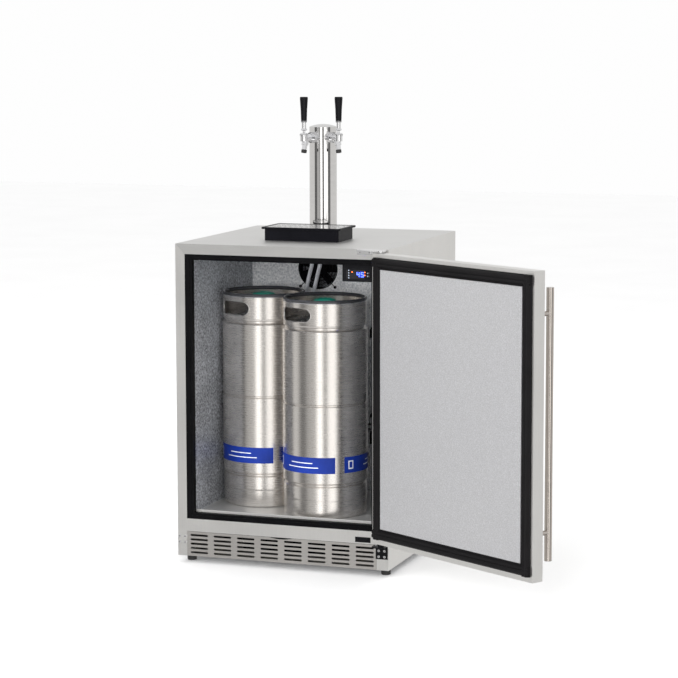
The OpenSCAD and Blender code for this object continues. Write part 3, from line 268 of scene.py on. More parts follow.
M = {
    "steel_v": brushed("steel_v", (0.88, 0.87, 0.85), 0.46, (500, 500, 14), strength=0.05),
    "steel_top": brushed("steel_top", (0.78, 0.775, 0.76), 0.46, (14, 500, 500), strength=0.05),
    "steel_grille": brushed("steel_grille", (0.68, 0.655, 0.63), 0.38, (14, 500, 500),
                            strength=0.05),
    "steel_floor": brushed("steel_floor", (0.74, 0.735, 0.72), 0.36, (14, 600, 600),
                           metallic=0.75, strength=0.04),
    "keg": brushed("keg", (0.80, 0.765, 0.73), 0.27, (24, 24, 1900), strength=0.02,
                   spread=0.03, blotch=0.03),
    "keg_bright": polished("keg_bright", (0.86, 0.83, 0.80), 0.16),
    "tower": polished("tower", (0.80, 0.79, 0.78), 0.045),
    "chrome": polished("chrome", (0.88, 0.88, 0.89), 0.05),
    # The handle bar's steel is tinted dark brown: a painted reflection of brown surroundings.
    "handle_bar_painted_reflection": polished("handle_bar_painted_reflection", (0.58, 0.53, 0.49), 0.11),
    "galvanised": embossed("galvanised", 0.40, 0.53, 0.45, 90.0, depth=0.0001),
    # The liner, evaporator cover and door liner are one embossed aluminium in three tones: the
    # liner's copy is darkened as painted shade, and the cover's, up to white, is lightened as
    # painted light.
    "wall_sheet_painted_shade": embossed("wall_sheet_painted_shade", (0.06, 0.063, 0.07), (0.62, 0.64, 0.68), 0.42,
                           210.0, 0.45, 0.0016),
    "cover_sheet_painted_light": embossed("cover_sheet_painted_light", (0.50, 0.52, 0.55), (1.0, 1.0, 1.0), 0.42,
                            210.0, 0.20, 0.0014),
    "door_sheet": embossed("door_sheet", (0.52, 0.52, 0.53), (0.68, 0.68, 0.70), 0.46,
                           420.0, 0.8, 0.0003, cloudy=0.08, edge=0.002),
    "fins": brushed("fins", (0.62, 0.63, 0.64), 0.35, (30, 30, 30)),
    "copper": brushed("copper", (0.62, 0.30, 0.17), 0.30, (40, 40, 40)),
    # The black plastics' lighter edge colours are painted edge highlights.
    "black": plastic("black", (0.005, 0.005, 0.006), 0.38, edge_highlight_colour=(0.03, 0.03, 0.03), spec=0.10),
    "frame_black": plastic("frame_black", (0.003, 0.003, 0.0035), 0.45,
                           edge_highlight_colour=(0.02, 0.02, 0.02), spec=0.05),
    "black_soft": plastic("black_soft", (0.018, 0.017, 0.017), 0.55, 900, 0.25,
                          edge_highlight_colour=(0.06, 0.06, 0.06)),
    "black_gloss": plastic("black_gloss", (0.005, 0.005, 0.006), 0.13, 300, 0.03, spec=0.14),
    "tray_black": plastic("tray_black", (0.005, 0.005, 0.007), 0.32, 500, 0.10,
                          edge_highlight_colour=(0.06, 0.06, 0.06), edge=0.002, spec=0.08),
    "rubber": plastic("rubber", (0.006, 0.0055, 0.006), 0.50, 1200, 0.2, edge=0.0015, spec=0.11),
    "white": plastic("white", (0.72, 0.72, 0.70), 0.40),
    "foam": plastic("foam", (0.72, 0.66, 0.46), 0.85, 250, 0.8),
    "green": plastic("green", (0.010, 0.26, 0.19), 0.35, 500, 0.1),
    "blue_film": plastic("blue_film", (0.004, 0.022, 0.20), 0.50, 300, 0.05, edge=0, spec=0.3),
    "white_ink": plastic("white_ink", (0.62, 0.64, 0.68), 0.45, 400, 0.05, edge=0),
    "chime_rubber": plastic("chime_rubber", (0.030, 0.031, 0.035), 0.20, 500, 0.06),
    "window": plastic("window", (0.004, 0.004, 0.005), 0.10, 200, 0.01, coat=0.5, edge=0),
    "digit_blue": glowing("digit_blue", (0.05, 0.09, 1.0), 7.0),
    "led_orange": glowing("led_orange", (1.0, 0.16, 0.02), 4.0),
    "icon_white": glowing("icon_white", (0.55, 0.62, 0.75), 0.7),
}

CAD_MATERIALS = {
    "steel_v": "left_side_panel right_side_panel bottom_rail door_skin",
    "steel_top": "top_panel",
    "steel_grille": "kick_grille",
    "steel_floor": "floor_sheet",
    "keg": "keg_left keg_right keg_chimes_left keg_chimes_right",
    "tower": "tower_column tower_cap",
    "chrome": "top_hinge screws faucet_shanks faucet_bodies tap_lever_left tap_lever_right "
              "drip_grate line_fittings",
    "handle_bar_painted_reflection": "door_handle",
    "galvanised": "back_panel base_pan condenser",
    # The liner takes the darkened copy (painted shade) and the evaporator cover the lightened copy
    # (painted light).
    "wall_sheet_painted_shade": "inner_liner",
    "cover_sheet_painted_light": "evaporator_cover",
    "door_sheet": "door_liner",
    "fins": "evaporator_coil",
    "copper": "refrigerant_pipes",
    "frame_black": "breaker_frame",
    "black": "switch_housing controller_housing fan_frames evaporator_fan_rotor "
             "condenser_fan_rotor power_inlet power_rocker bottom_hinge compressor fan_guard "
             "drain_pan",
    "black_soft": "foot_front_left foot_front_right foot_back_left foot_back_right",
    "black_gloss": "tap_handle_left tap_handle_right",
    "tray_black": "drip_tray",
    "rubber": "door_gasket gas_line_grommet",
    "white": "hinge_bushes key_up key_down",
    "foam": "insulation door_foam",
    "green": "keg_valve_left keg_valve_right",
}
for mat_name, names in CAD_MATERIALS.items():
    for node in names.split():
        mesh = nodes[node].data
        if not mesh.materials:
            mesh.materials.append(M[mat_name])
        for k in range(len(mesh.materials)):
            mesh.materials[k] = M[mat_name]


# ------------------------------------------------------------------ piece helpers
def piece(name, verts, faces, mat, body, smooth=True, uvs=None):
    mesh = bpy.data.meshes.new(name)
    mesh.from_pydata([tuple(v) for v in verts], [], faces)
    bm = bmesh.new()
    bm.from_mesh(mesh)
    if uvs is None:
        bmesh.ops.recalc_face_normals(bm, faces=bm.faces)
    bm.to_mesh(mesh)
    bm.free()
    if uvs is not None:
        layer = mesh.uv_layers.new(name="uv")
        for loop in mesh.loops:
            layer.data[loop.index].uv = uvs[loop.vertex_index]
    mesh.materials.append(M[mat])
    for poly in mesh.polygons:
        poly.use_smooth = smooth
    obj = bpy.data.objects.new(name, mesh)
    scene.collection.objects.link(obj)
    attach(obj, body)
    return obj


def soften(obj, width, segments=3):
    bevel = obj.modifiers.new("soft", "BEVEL")
    bevel.width = width
    bevel.segments = segments
    bevel.limit_method = "ANGLE"
    bevel.angle_limit = math.radians(35)
    return obj


class Soup:
    """Gathers boxes, plates and lathed solids into one mesh."""

    def __init__(self):
        self.v, self.f = [], []

    def block(self, lo, hi, place=None):
        n = len(self.v)
        for x in (lo[0], hi[0]):
            for y in (lo[1], hi[1]):
                for z in (lo[2], hi[2]):
                    p = Vector((x, y, z))
                    self.v.append(place @ p if place else p)
        for q in ((0, 1, 3, 2), (4, 6, 7, 5), (0, 4, 5, 1), (2, 3, 7, 6), (0, 2, 6, 4),
                  (1, 5, 7, 3)):
            self.f.append([n + k for k in q])

    def turned(self, profile, place, sides=48):
        """profile is a closed loop of (radius, height); it turns about the local Z axis."""
        n, m = len(self.v), len(profile)
        for k in range(sides):
            a = 2 * math.pi * k / sides
            for r, h in profile:
                self.v.append(place @ Vector((r * math.cos(a), r * math.sin(a), h)))
        for k in range(sides):
            for i in range(m):
                a, b = n + k * m, n + (k + 1) % sides * m
                self.f.append([a + i, b + i, b + (i + 1) % m, a + (i + 1) % m])

    def prism(self, outline, depth, place):
        """outline is a loop of (x, y), pushed out along local Z from 0 to depth."""
        n, m = len(self.v), len(outline)
        for h in (0, depth):
            for x, y in outline:
                self.v.append(place @ Vector((x, y, h)))
        self.f.append([n + i for i in range(m)][::-1])
        self.f.append([n + m + i for i in range(m)])
        for i in range(m):
            j = (i + 1) % m
            self.f.append([n + i, n + j, n + m + j, n + m + i])

    def done(self, name, mat, body, slot=None, smooth=False):
        return piece(name, self.v, self.f, mat, body, smooth)


MM = 0.001

# ------------------------------------------------------------------ beer lines
# The route's points repeat part.scad's, in millimetres.
TOWER_Y, SHANK_Z, TOP_Z, ROOF_Z, FLOOR_Z = 35.5, 1157.0, 880.0, 838.0, 138.0
BACK_RUN, FLOOR_RUN, NUT_RUN = 128.0, 145.0, 151.0
TAIL_OUT, TAIL_DROP = 15, 14
HOSE_R, HOSE_LENGTH = 0.0055, 1.21
HOSE_STEP, WEAVE_PITCH = 0.004, 0.006
MID = [
    (-23, TOWER_Y, TOP_Z + 10), (-25, TOWER_Y + 1, ROOF_Z + 7),
    (-36, TOWER_Y + 6, ROOF_Z - 38), (-52, TOWER_Y + 22, ROOF_Z - 80),
    (-69, TOWER_Y + 44, ROOF_Z - 120), (-92, TOWER_Y + 62, ROOF_Z - 170),
    (-118, TOWER_Y + 75, FLOOR_Z + 460), (-144, BACK_RUN - 4, FLOOR_Z + 380),
    (-166, BACK_RUN, FLOOR_Z + 300), (-184, BACK_RUN, FLOOR_Z + 220),
    (-194, BACK_RUN, FLOOR_Z + 150), (-198, BACK_RUN, FLOOR_Z + 95),
    (-190, BACK_RUN, FLOOR_Z + 52), (-164, BACK_RUN, FLOOR_Z + 20),
    (-130, BACK_RUN, FLOOR_RUN), (-95, BACK_RUN, FLOOR_RUN), (-65, BACK_RUN, FLOOR_RUN),
]


def tap_angle(side):
    """How far a tap is turned about the column: side is -1 for the left one and 1 for the right."""
    return math.radians(16 + side * 32)


def tail(side):
    """Where the hose leaves its shank's tail, inside the column."""
    a = tap_angle(side)
    return Vector((TAIL_OUT * math.sin(a), TOWER_Y - TAIL_OUT * math.cos(a), SHANK_Z - TAIL_DROP))


LEFT = [
    tail(-1), tail(-1) - Vector((0, 0, 22)), (-7, TOWER_Y - 12, TOP_Z + 218),
    (-10, TOWER_Y - 9, TOP_Z + 190), (-13, TOWER_Y - 6, TOP_Z + 150),
    (-16, TOWER_Y - 4, TOP_Z + 105), (-20, TOWER_Y - 2, TOP_Z + 60), *MID,
    (-40, BACK_RUN, NUT_RUN - 1), (-20, BACK_RUN, NUT_RUN), (0, BACK_RUN, NUT_RUN),
]
RIGHT = [
    tail(1), tail(1) - Vector((0, 0, 22)), (10, TOWER_Y - 8, TOP_Z + 218),
    (8, TOWER_Y - 6, TOP_Z + 190), (6, TOWER_Y - 4, TOP_Z + 150),
    (4, TOWER_Y - 2, TOP_Z + 105), (2, TOWER_Y - 1, TOP_Z + 60),
    *[(x + 24, y + min(15, max(0, i - 4) * 3), z) for i, (x, y, z) in enumerate(MID)],
    (-14, BACK_RUN + 15, NUT_RUN - 1), (6, BACK_RUN + 15, NUT_RUN), (26, BACK_RUN + 15, NUT_RUN),
]


def smooth_path(points, step):
    """A curve through the points, in metres."""
    p = [Vector(q) * MM for q in points]
    out = []
    for i in range(len(p) - 1):
        a, b, c, d = p[max(0, i - 1)], p[i], p[i + 1], p[min(len(p) - 1, i + 2)]
        n = max(1, round((c - b).length / step))
        for k in range(n):
            t = k / n
            out.append(0.5 * (2 * b + (c - a) * t + (2 * a - 5 * b + 4 * c - d) * t * t
                              + (3 * b - a - 3 * c + d) * t * t * t))
    return out + [p[-1]]


def braided(name):
    """A hose in a grey woven sleeve: two sets of crossing strands along the UV directions."""
    s = Shader(name)
    tex = s.add("ShaderNodeTexCoord")
    split = s.add("ShaderNodeSeparateXYZ")
    s.link(tex.outputs["UV"], split.inputs["Vector"])
    waves = []
    for sign in (1, -1):
        slant = s.math("MULTIPLY", split.outputs["Y"], 12.0 * sign)
        turned = s.math("ADD", split.outputs["X"], slant)
        waves.append(s.math("ABSOLUTE", s.math("SINE", s.math("MULTIPLY", turned, math.pi))))
    weave = s.math("MAXIMUM", waves[0], waves[1])
    cloud = s.noise(s.coords((1, 1, 1)), 40.0, 3.0)
    tone = s.mix(weave, cloud, 0.35)
    s.link(s.ramp(tone, [(0.35, (0.26, 0.27, 0.30)), (0.85, (0.80, 0.82, 0.86))]),
           s.bsdf.inputs["Base Color"])
    s.put(Roughness=0.5, Metallic=0.25)
    s.bump(weave, 0.7, 0.0006)
    return s.mat


M["braid"] = braided("braid")


def hose(name, points, radius):
    """A round tube along the points; returns the piece and the path that it follows."""
    path = smooth_path(points, HOSE_STEP)
    sides = 20
    verts, faces, uvs = [], [], []
    n = len(path)
    run = 0.0
    side = Vector((0.3, -1, 0)).normalized()
    for i, p in enumerate(path):
        d = (path[min(i + 1, n - 1)] - path[max(i - 1, 0)]).normalized()
        if i == 0:
            d = Vector((0, 0, -1))
        side = (side - d * side.dot(d)).normalized()
        v = d.cross(side)
        if i:
            run += (p - path[i - 1]).length
        for k in range(sides):
            a = 2 * math.pi * k / sides
            verts.append(p + radius * (math.cos(a) * side + math.sin(a) * v))
            uvs.append((run / WEAVE_PITCH, k / sides))
    for i in range(n - 1):
        for k in range(sides):
            a, b = i * sides + k, i * sides + (k + 1) % sides
            faces.append([a, b, b + sides, a + sides])
    faces.append(list(range(sides))[::-1])
    faces.append([(n - 1) * sides + k for k in range(sides)])
    return piece(name, verts, faces, "braid", "cabinet", True, uvs), path


def hose_end(name, path):
    """The stub and hex nut on a hose's end, turned and knurled."""
    d = (path[-1] - path[-2]).normalized()
    place = Matrix.Translation(path[-1]) @ d.to_track_quat("Z", "Y").to_matrix().to_4x4()
    end = Soup()
    end.turned([(0.0026, 0.0), (0.0040, 0.0), (0.0040, 0.0135), (0.0026, 0.0135)], place, 40)
    for z in (0.003, 0.006, 0.009):
        end.turned([(0.0039, z), (0.0046, z), (0.0039, z + 0.0016)], place, 40)
    n, outer = len(end.v), []
    for k in range(6):
        a = math.pi / 3 * k
        outer.append((math.cos(a), math.sin(a)))
    levels = ((0.0135, 0.0100), (0.0145, 0.0110), (0.0330, 0.0110), (0.0340, 0.0100),
              (0.0340, 0.0062), (0.0180, 0.0055))
    for z, r in levels:
        for c, t in outer:
            end.v.append(place @ Vector((r * c, r * t, z)))
    for i in range(len(levels) - 1):
        for k in range(6):
            a, b = n + i * 6 + k, n + i * 6 + (k + 1) % 6
            end.f.append([a, b, b + 6, a + 6])
    end.f.append([n + k for k in range(6)][::-1])
    end.f.append([n + (len(levels) - 1) * 6 + k for k in range(6)])
    return end.done(name, "chrome", "cabinet", "chrome")


for hose_name, route in (("beer_hose_left", LEFT), ("beer_hose_right", RIGHT)):
    line, path = hose(hose_name, route, HOSE_R)
    node = "beer_line_left" if "left" in hose_name else "beer_line_right"
    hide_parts(node)
    end = hose_end(hose_name + "_end", path)
    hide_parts("line_fittings")

# ------------------------------------------------------------------ kegs' print, bands and caps
KEG_R = 0.116
BAND_LOW, BAND_HIGH, BAND_SPAN = 0.1235, 0.1675, 107
RING_R, RING_IN, HOLE_HEIGHT = 0.114, 0.1132, 0.552
HOLE_ANGLES = (-119, 61)
KEG_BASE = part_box("keg_chimes_right")[0].z
KEGS = {"left": (-0.142, -0.061), "right": (0.072, -0.154)}


def on_keg(centre, angle, height, out):
    """A point on a keg's side. The angle counts from the side that faces the photo's camera."""
    a, r = math.radians(VIEW_AZ + angle), KEG_R + out
    return Vector((centre[0] + r * math.cos(a), centre[1] + r * math.sin(a), KEG_BASE + height))


def wrap(soup, centre, a0, a1, h0, h1, lift_by, thick=0.00015):
    """A thin patch of film or ink on the keg's side, between two angles and two heights."""
    steps = max(1, int(abs(a1 - a0) / 3))
    n = len(soup.v)
    for out in (lift_by, lift_by + thick):
        for k in range(steps + 1):
            a = a0 + (a1 - a0) * k / steps
            soup.v.append(on_keg(centre, a, h0, out))
            soup.v.append(on_keg(centre, a, h1, out))
    m = 2 * (steps + 1)
    for k in range(steps):
        i = n + 2 * k
        soup.f.append([i, i + 1, i + 3, i + 2])
        soup.f.append([i + m, i + m + 2, i + m + 3, i + m + 1])
        soup.f.append([i, i + 2, i + m + 2, i + m])
        soup.f.append([i + 1, i + m + 1, i + m + 3, i + 3])
    for i in (n, n + 2 * steps):
        soup.f.append([i, i + m, i + m + 1, i + 1])


for side, centre in KEGS.items():
    body = side + "_keg"
    film, ink = Soup(), Soup()
    for start in (-94, 26, 146):
        wrap(film, centre, start, start + BAND_SPAN, BAND_LOW, BAND_HIGH, 0.0002)
        # Plain white rules in place of print
        for a0, a1, low in ((42, 76, 0.1505), (36, 84, 0.1385)):
            wrap(ink, centre, start + a0, start + a1, low, low + 0.0022, 0.0004, 0.0001)
        wrap(ink, centre, start + 6, start + 14, 0.134, 0.157, 0.0004, 0.0001)
        wrap(film, centre, start + 7.5, start + 12.5, 0.137, 0.154, 0.0006, 0.0001)
    film.done("keg_band_" + side, "blue_film", body, "keg_steel")
    ink.done("keg_band_print_" + side, "white_ink", body, "keg_steel")
    # Dark rolled rim on the top ring, and the round cap over the valve
    rim = Soup()
    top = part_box("keg_chimes_" + side)[1].z
    place = Matrix.Translation((centre[0], centre[1], top - 0.0052))
    rim.turned([(0.1104 + 0.0046 * math.cos(a * math.pi / 10), 0.0052 * math.sin(a * math.pi / 10))
                for a in range(20)], place, 160)
    rim.done("keg_rim_" + side, "chime_rubber", body, "keg_steel", True)
    lip = Soup()
    lip.turned([(RING_R, -0.0098), (0.1147, -0.0094), (0.1149, -0.0086), (0.1146, -0.0078),
                (RING_R, -0.0075)], place @ Matrix.Translation((0, 0, 0.0040)), 160)
    lip.done("keg_lip_" + side, "chrome", body, "keg_steel", True)
    # Rolled lips round the hand holes
    lips = Soup()
    half_w, half_h, tube = 0.055, 0.019, 0.0017
    around, turns = 72, 10
    for middle in HOLE_ANGLES:
        loop = []
        for k in range(around):
            a = 2 * math.pi * k / around
            across = half_h * math.cos(a) + (half_w - half_h) * (1 if math.cos(a) > 0.001 else -1)
            loop.append((across, half_h * math.sin(a), math.cos(a), math.sin(a)))
        n = len(lips.v)
        for across, rise, ca, sa in loop:
            for j in range(turns):
                b = 2 * math.pi * j / turns
                t = across + tube * math.cos(b) * ca
                a = math.radians(middle) + math.asin(t / RING_R)
                r = RING_IN + tube * math.sin(b)
                lips.v.append(Vector((centre[0] + r * math.cos(a), centre[1] + r * math.sin(a),
                                      KEG_BASE + HOLE_HEIGHT + rise + tube * math.cos(b) * sa)))
        for k in range(around):
            p, q = n + k * turns, n + (k + 1) % around * turns
            for j in range(turns):
                lips.f.append([p + j, q + j, q + (j + 1) % turns, p + (j + 1) % turns])
    lips.done("keg_hole_lips_" + side, "keg_bright", body, "keg_steel", True)
    cap = Soup()
    valve_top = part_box("keg_valve_" + side)[1].z
    place = Matrix.Translation((centre[0], centre[1], valve_top))
    for k in range(48):
        turn_k = place @ Matrix.Rotation(2 * math.pi * k / 48, 4, "Z")
        cap.block((0.0306, -0.0009, -0.0280), (0.0317, 0.0009, -0.0034), turn_k)
    cap.turned([(0.019, 0.0), (0.0225, 0.0), (0.0225, 0.0009), (0.0215, 0.0014), (0.020, 0.0014),
                (0.019, 0.0009)], place, 64)
    cap.done("keg_cap_ribs_" + side, "green", body, "valve_green")

# ------------------------------------------------------------------ controller front
c_lo, c_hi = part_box("controller_housing")
face_y = c_lo.y + 0.0012
GLASS, LIT, KEY_COVER = 0.0006, 0.0002, 0.0003


def on_face(soup, x0, x1, z0, z1, depth, y):
    """A thin plate that stands out by depth from the plane at y, towards the front."""
    soup.block((x0, y - depth, z0), (x1, y, z1))


window = Soup()
on_face(window, c_lo.x + 0.010, c_hi.x - 0.0205, c_lo.z + 0.007, c_lo.z + 0.0315, GLASS, face_y)
soften(window.done("display_window", "window", "cabinet", "black_plastic"), 0.0002, 2)
glass_y = face_y - GLASS
digits = Soup()
SEGMENTS = {"4": "bcfg", "5": "acdfg"}


def digit(soup, char, x, z, w, h, t):
    """One seven-segment figure: its lower left corner, width, height and stroke."""
    slots = {
        "a": ((x, z + h - t), (x + w, z + h)), "b": ((x + w - t, z + h / 2), (x + w, z + h)),
        "c": ((x + w - t, z), (x + w, z + h / 2)), "d": ((x, z), (x + w, z + t)),
        "e": ((x, z), (x + t, z + h / 2)), "f": ((x, z + h / 2), (x + t, z + h)),
        "g": ((x, z + h / 2 - t / 2), (x + w, z + h / 2 + t / 2)),
    }
    for key in SEGMENTS[char]:
        (x0, z0), (x1, z1) = slots[key]
        on_face(soup, x0 + LIT, x1 - LIT, z0 + LIT, z1 - LIT, LIT, glass_y)


for char, x in (("4", 0.2095), ("5", 0.2210)):
    digit(digits, char, x, 0.8035, 0.0085, 0.0135, 0.0024)
digits.done("display_digits", "digit_blue", "cabinet", "white_plastic")
leds = Soup()
for x, z in ((0.197, 0.8165), (0.2325, 0.8165), (0.2325, 0.8085)):
    on_face(leds, x - 0.0012, x + 0.0012, z - 0.0012, z + 0.0012, LIT, glass_y)
leds.done("display_leds", "led_orange", "cabinet", "white_plastic")
icons = Soup()
for k in range(4):
    z = 0.8005 + k * 0.0068
    on_face(icons, 0.1865, 0.1885, z - 0.0007, z + 0.0007, LIT, glass_y)
    on_face(icons, 0.1871, 0.1879, z - 0.0013, z + 0.0013, LIT, glass_y)
icons.done("display_icons", "icon_white", "cabinet", "white_plastic")
for key, tip in (("key_up", 1), ("key_down", -1)):
    lo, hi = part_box(key)
    mid_x, mid_z = (lo.x + hi.x) / 2, (lo.z + hi.z) / 2
    cover = Soup()
    cover.block((lo.x, lo.y - KEY_COVER, lo.z), (hi.x, lo.y, hi.z))
    body = "up_key" if key == "key_up" else "down_key"
    soften(cover.done(key + "_cover", "black", body, "black_plastic"), 0.0001, 2)
    mark = Soup()
    place = (Matrix.Translation((mid_x, lo.y - KEY_COVER, mid_z))
             @ Matrix.Rotation(math.pi / 2, 4, "X"))
    mark.prism([(-0.0016, -0.0009 * tip), (0.0016, -0.0009 * tip), (0, 0.0012 * tip)], LIT, place)
    mark.done(key + "_mark", "icon_white", body, "white_plastic")

# ------------------------------------------------------------------ clips on the back wall
cover_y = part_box("evaporator_cover")[0].y + 0.014
clips = Soup()
for z0, z1, deep in ((0.581, 0.610, 0.011), (0.351, 0.364, 0.009), (0.274, 0.312, 0.012)):
    clips.block((0.0965, cover_y - deep, z0), (0.128, cover_y - 0.0002, z1))
    clips.block((0.0965, cover_y - deep - 0.006, z0), (0.1005, cover_y - deep, z1 - 0.004))
    clips.block((0.104, cover_y - deep - 0.003, z0 + 0.003), (0.1215, cover_y - deep, z0 + 0.007))
soften(clips.done("wall_clips", "black", "cabinet", "black_plastic"), 0.0012)

# ------------------------------------------------------------------ taps' rings, nuts and ferrules
SPOUT_OUT, TAP_OUT = -0.0911, -0.0901
for side, side_name in ((-1, "left"), (1, "right")):
    turn_tap = (Matrix.Translation((0, TOWER_Y * MM, 0))
                @ Matrix.Rotation(tap_angle(side), 4, "Z"))
    axis = turn_tap @ Matrix.Translation((0, TAP_OUT, 0))
    tilt = math.atan2(9, 38)
    mouth = (turn_tap @ Matrix.Translation((0, SPOUT_OUT, 1.117))
             @ Matrix.Rotation(-tilt, 4, "X"))
    tip = Soup()
    tip.turned([(0.0050, -0.0004), (0.0070, -0.0006), (0.0076, 0.0), (0.0077, 0.0070),
                (0.0071, 0.0078), (0.0049, 0.0078)], mouth, 40)
    tip.done("spout_tip_" + side_name, "black_soft", "cabinet", "black_plastic", True)
    knurl = Soup()
    for nut_y in (-0.0455, -0.0545):
        for i in range(30):
            spin = (turn_tap @ Matrix.Translation((0, nut_y, SHANK_Z * MM))
                    @ Matrix.Rotation(2 * math.pi * i / 30, 4, "Y"))
            knurl.block((0.0142, -0.0030, -0.0006), (0.0149, 0.0030, 0.0006), spin)
    knurl.done("nut_knurl_" + side_name, "chrome", "cabinet", "chrome")
    groove = Soup()
    groove.turned([(0.0117, 0.0), (0.01185, 0.0002), (0.01185, 0.0010), (0.0117, 0.0012),
                   (0.0110, 0.0006)], axis @ Matrix.Translation((0, 0, 1.1655)), 48)
    groove.done("bonnet_line_" + side_name, "black_soft", "cabinet", "black_plastic", True)
    band = Soup()
    for z, r in ((1.2003, 0.0084), (1.2032, 0.0086)):
        band.turned([(r - 0.0006, -0.0007), (r, -0.0005), (r, 0.0005), (r - 0.0006, 0.0007)],
                    axis @ Matrix.Translation((0, 0, z)), 40)
    band.done("handle_ferrule_" + side_name, "chrome", "tap_" + side_name, "chrome", True)

# ------------------------------------------------------------------ painted shade of the screws' cross recesses: dark crosses
SQUARE = [(i * 0.008, j * 0.008) for i in (-1, 1) for j in (-1, 1)]
SCREWS = [(-0.2905 + dx, -0.3086, 0.066 + dz) for dx, dz in SQUARE]
SCREWS += [(0.286 + dx, -0.3116, 0.066 + dz) for dx, dz in SQUARE]
SCREWS += [(0.226, -0.3111, 0.8715), (0.252, -0.3111, 0.8715)]
recess_shade = Soup()
for place in SCREWS:
    spin = Matrix.Translation(place) @ Matrix.Rotation(rng.uniform(0, 1.5), 4, "Y")
    # A thin near-black cross on each screw head paints the shade inside its recess.
    recess_shade.block((-0.0017, -0.00008, -0.0004), (0.0017, 0.0003, 0.0004), spin)
    recess_shade.block((-0.0004, -0.00008, -0.0017), (0.0004, 0.0003, 0.0017), spin)
recess_shade.done("screw_recess_painted_shade", "black_soft", "cabinet", "black_plastic")

# ------------------------------------------------------------------ stage and light
floor_mesh = bpy.data.meshes.new("floor")
bm = bmesh.new()
bmesh.ops.create_grid(bm, x_segments=24, y_segments=24, size=14)
bm.to_mesh(floor_mesh)
bm.free()
floor = bpy.data.objects.new("floor", floor_mesh)
scene.collection.objects.link(floor)
floor_shader = Shader("floor")
faint = floor_shader.noise(floor_shader.coords((1, 1, 1)), 2.0, 2.0)
floor_shader.link(floor_shader.ramp(faint, [(0.3, 0.95), (0.7, 0.97)]),
                  floor_shader.bsdf.inputs["Base Color"])
floor_shader.put(Roughness=0.9)
floor_mesh.materials.append(floor_shader.mat)
floor.visible_glossy = False

world = bpy.data.worlds.new("studio")
scene.world = world
world.use_nodes = True
tree = world.node_tree
for n in list(tree.nodes):
    tree.nodes.remove(n)


def wnode(kind, **values):
    n = tree.nodes.new(kind)
    for key, value in values.items():
        setattr(n, key, value)
    return n


def wmath(op, a, b=None, c=None):
    n = wnode("ShaderNodeMath", operation=op)
    for k, value in enumerate((a, b, c)):
        if value is None:
            continue
        if hasattr(value, "is_linked"):
            tree.links.new(value, n.inputs[k])
        else:
            n.inputs[k].default_value = value
    return n.outputs[0]


def wmix(fac, a, b):
    """Mixes two colours; each may be a socket or plain numbers."""
    n = wnode("ShaderNodeMix", data_type="RGBA")
    colours = [s for s in n.inputs if s.type == "RGBA"]
    tree.links.new(fac, [s for s in n.inputs if s.name == "Factor" and s.type == "VALUE"][0])
    for value, socket in ((a, colours[0]), (b, colours[1])):
        if hasattr(value, "is_linked"):
            tree.links.new(value, socket)
        else:
            socket.default_value = (*value, 1)
    return [o for o in n.outputs if o.type == "RGBA"][0]


def height_step(low, high):
    """0 below the first height of the sky and 1 above the second; 0.5 is level."""
    n = wnode("ShaderNodeValToRGB")
    n.color_ramp.elements[0].position = low
    n.color_ramp.elements[1].position = high
    tree.links.new(wmath("MULTIPLY_ADD", axes.outputs["Z"], 0.5, 0.5), n.inputs["Fac"])
    return n.outputs["Color"]


def background(colour, strength):
    n = wnode("ShaderNodeBackground")
    if hasattr(colour, "is_linked"):
        tree.links.new(colour, n.inputs["Color"])
    else:
        n.inputs["Color"].default_value = (*colour, 1)
    n.inputs["Strength"].default_value = strength
    return n.outputs[0]


def by_ray(ray, off, on):
    """The second shader for one kind of ray, the first for the rest."""
    n = wnode("ShaderNodeMixShader")
    tree.links.new(rays.outputs[ray], n.inputs[0])
    tree.links.new(off, n.inputs[1])
    tree.links.new(on, n.inputs[2])
    return n.outputs[0]


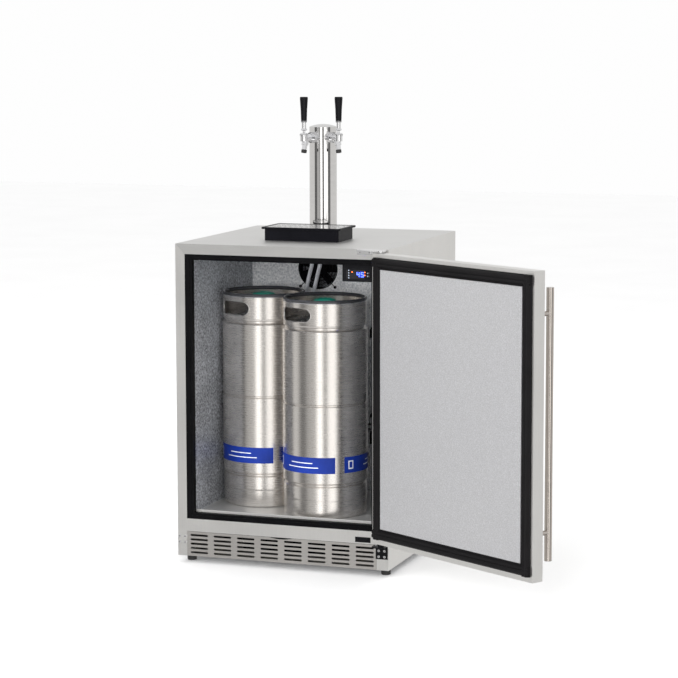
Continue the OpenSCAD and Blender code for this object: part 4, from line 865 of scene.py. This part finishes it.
# What shiny pieces reflect: bright and dark upright bands, as (degrees from the camera, level)
STOPS = [(-180, .62), (-78, .60), (-73, .10), (-55, .12), (-51, .42), (-29, .42), (-27, .14),
         (-24, .16), (-22, 1.7), (-8, 1.7), (-6, .0), (4, .0), (6, 1.25), (38, 1.25), (42, .12),
         (60, .14), (66, .60), (180, .62)]
coord = wnode("ShaderNodeTexCoord")
axes = wnode("ShaderNodeSeparateXYZ")
tree.links.new(coord.outputs["Generated"], axes.inputs[0])
azimuth = wmath("ARCTAN2", axes.outputs["Y"], axes.outputs["X"])
turned = wmath("DIVIDE", wmath("SUBTRACT", azimuth, math.radians(VIEW_AZ)), 2 * math.pi)
bands = wnode("ShaderNodeValToRGB")
ramp = bands.color_ramp
while len(ramp.elements) < len(STOPS):
    ramp.elements.new(0.5)
for element, (angle, value) in zip(ramp.elements, STOPS):
    element.position = (angle + 180) / 360
    element.color = (value * 0.5, value * 0.497, value * 0.49, 1)
tree.links.new(wmath("FRACT", wmath("ADD", turned, 0.5)), bands.inputs["Fac"])
above = wmix(height_step(0.52, 0.62), bands.outputs["Color"], (0.33, 0.33, 0.33))
reflected = wmix(height_step(0.14, 0.25), (0.16, 0.16, 0.165), above)
rays = wnode("ShaderNodeLightPath")
lit = by_ray("Is Glossy Ray", background((1, 1, 1), 1.02), background(reflected, 2.35))
out = wnode("ShaderNodeOutputWorld")
tree.links.new(by_ray("Is Camera Ray", lit, background((0.99, 0.99, 0.99), 1.0)),
               out.inputs["Surface"])


def area_light(name, place, target, size, power):
    """A soft light that shiny pieces don't show."""
    data = bpy.data.lights.new(name, "AREA")
    data.shape = "RECTANGLE"
    data.size, data.size_y = size
    data.energy = power
    obj = bpy.data.objects.new(name, data)
    obj.location = place
    obj.rotation_euler = (Vector(target) - Vector(place)).to_track_quat("-Z", "Y").to_euler()
    scene.collection.objects.link(obj)
    obj.visible_glossy = False


area_light("key", (-2.2, -4.6, 3.4), (0, 0, 0.6), (2.2, 2.2), 75)
area_light("fill", (3.6, -4.6, 2.0), (0.2, 0, 0.6), (2.5, 2.5), 38)
area_light("inside", (0.9, -4.2, 1.3), (-0.05, 0.1, 0.55), (1.2, 1.2), 75)
area_light("inside_left", (-1.7, -3.6, 1.0), (0.2, 0.0, 0.5), (1.2, 1.2), 40)
area_light("back", (1.5, 3.2, 3.2), (0, 0, 0.8), (2.5, 1.5), 30)
scene.view_settings.view_transform = "Standard"
scene.view_settings.look = "None"
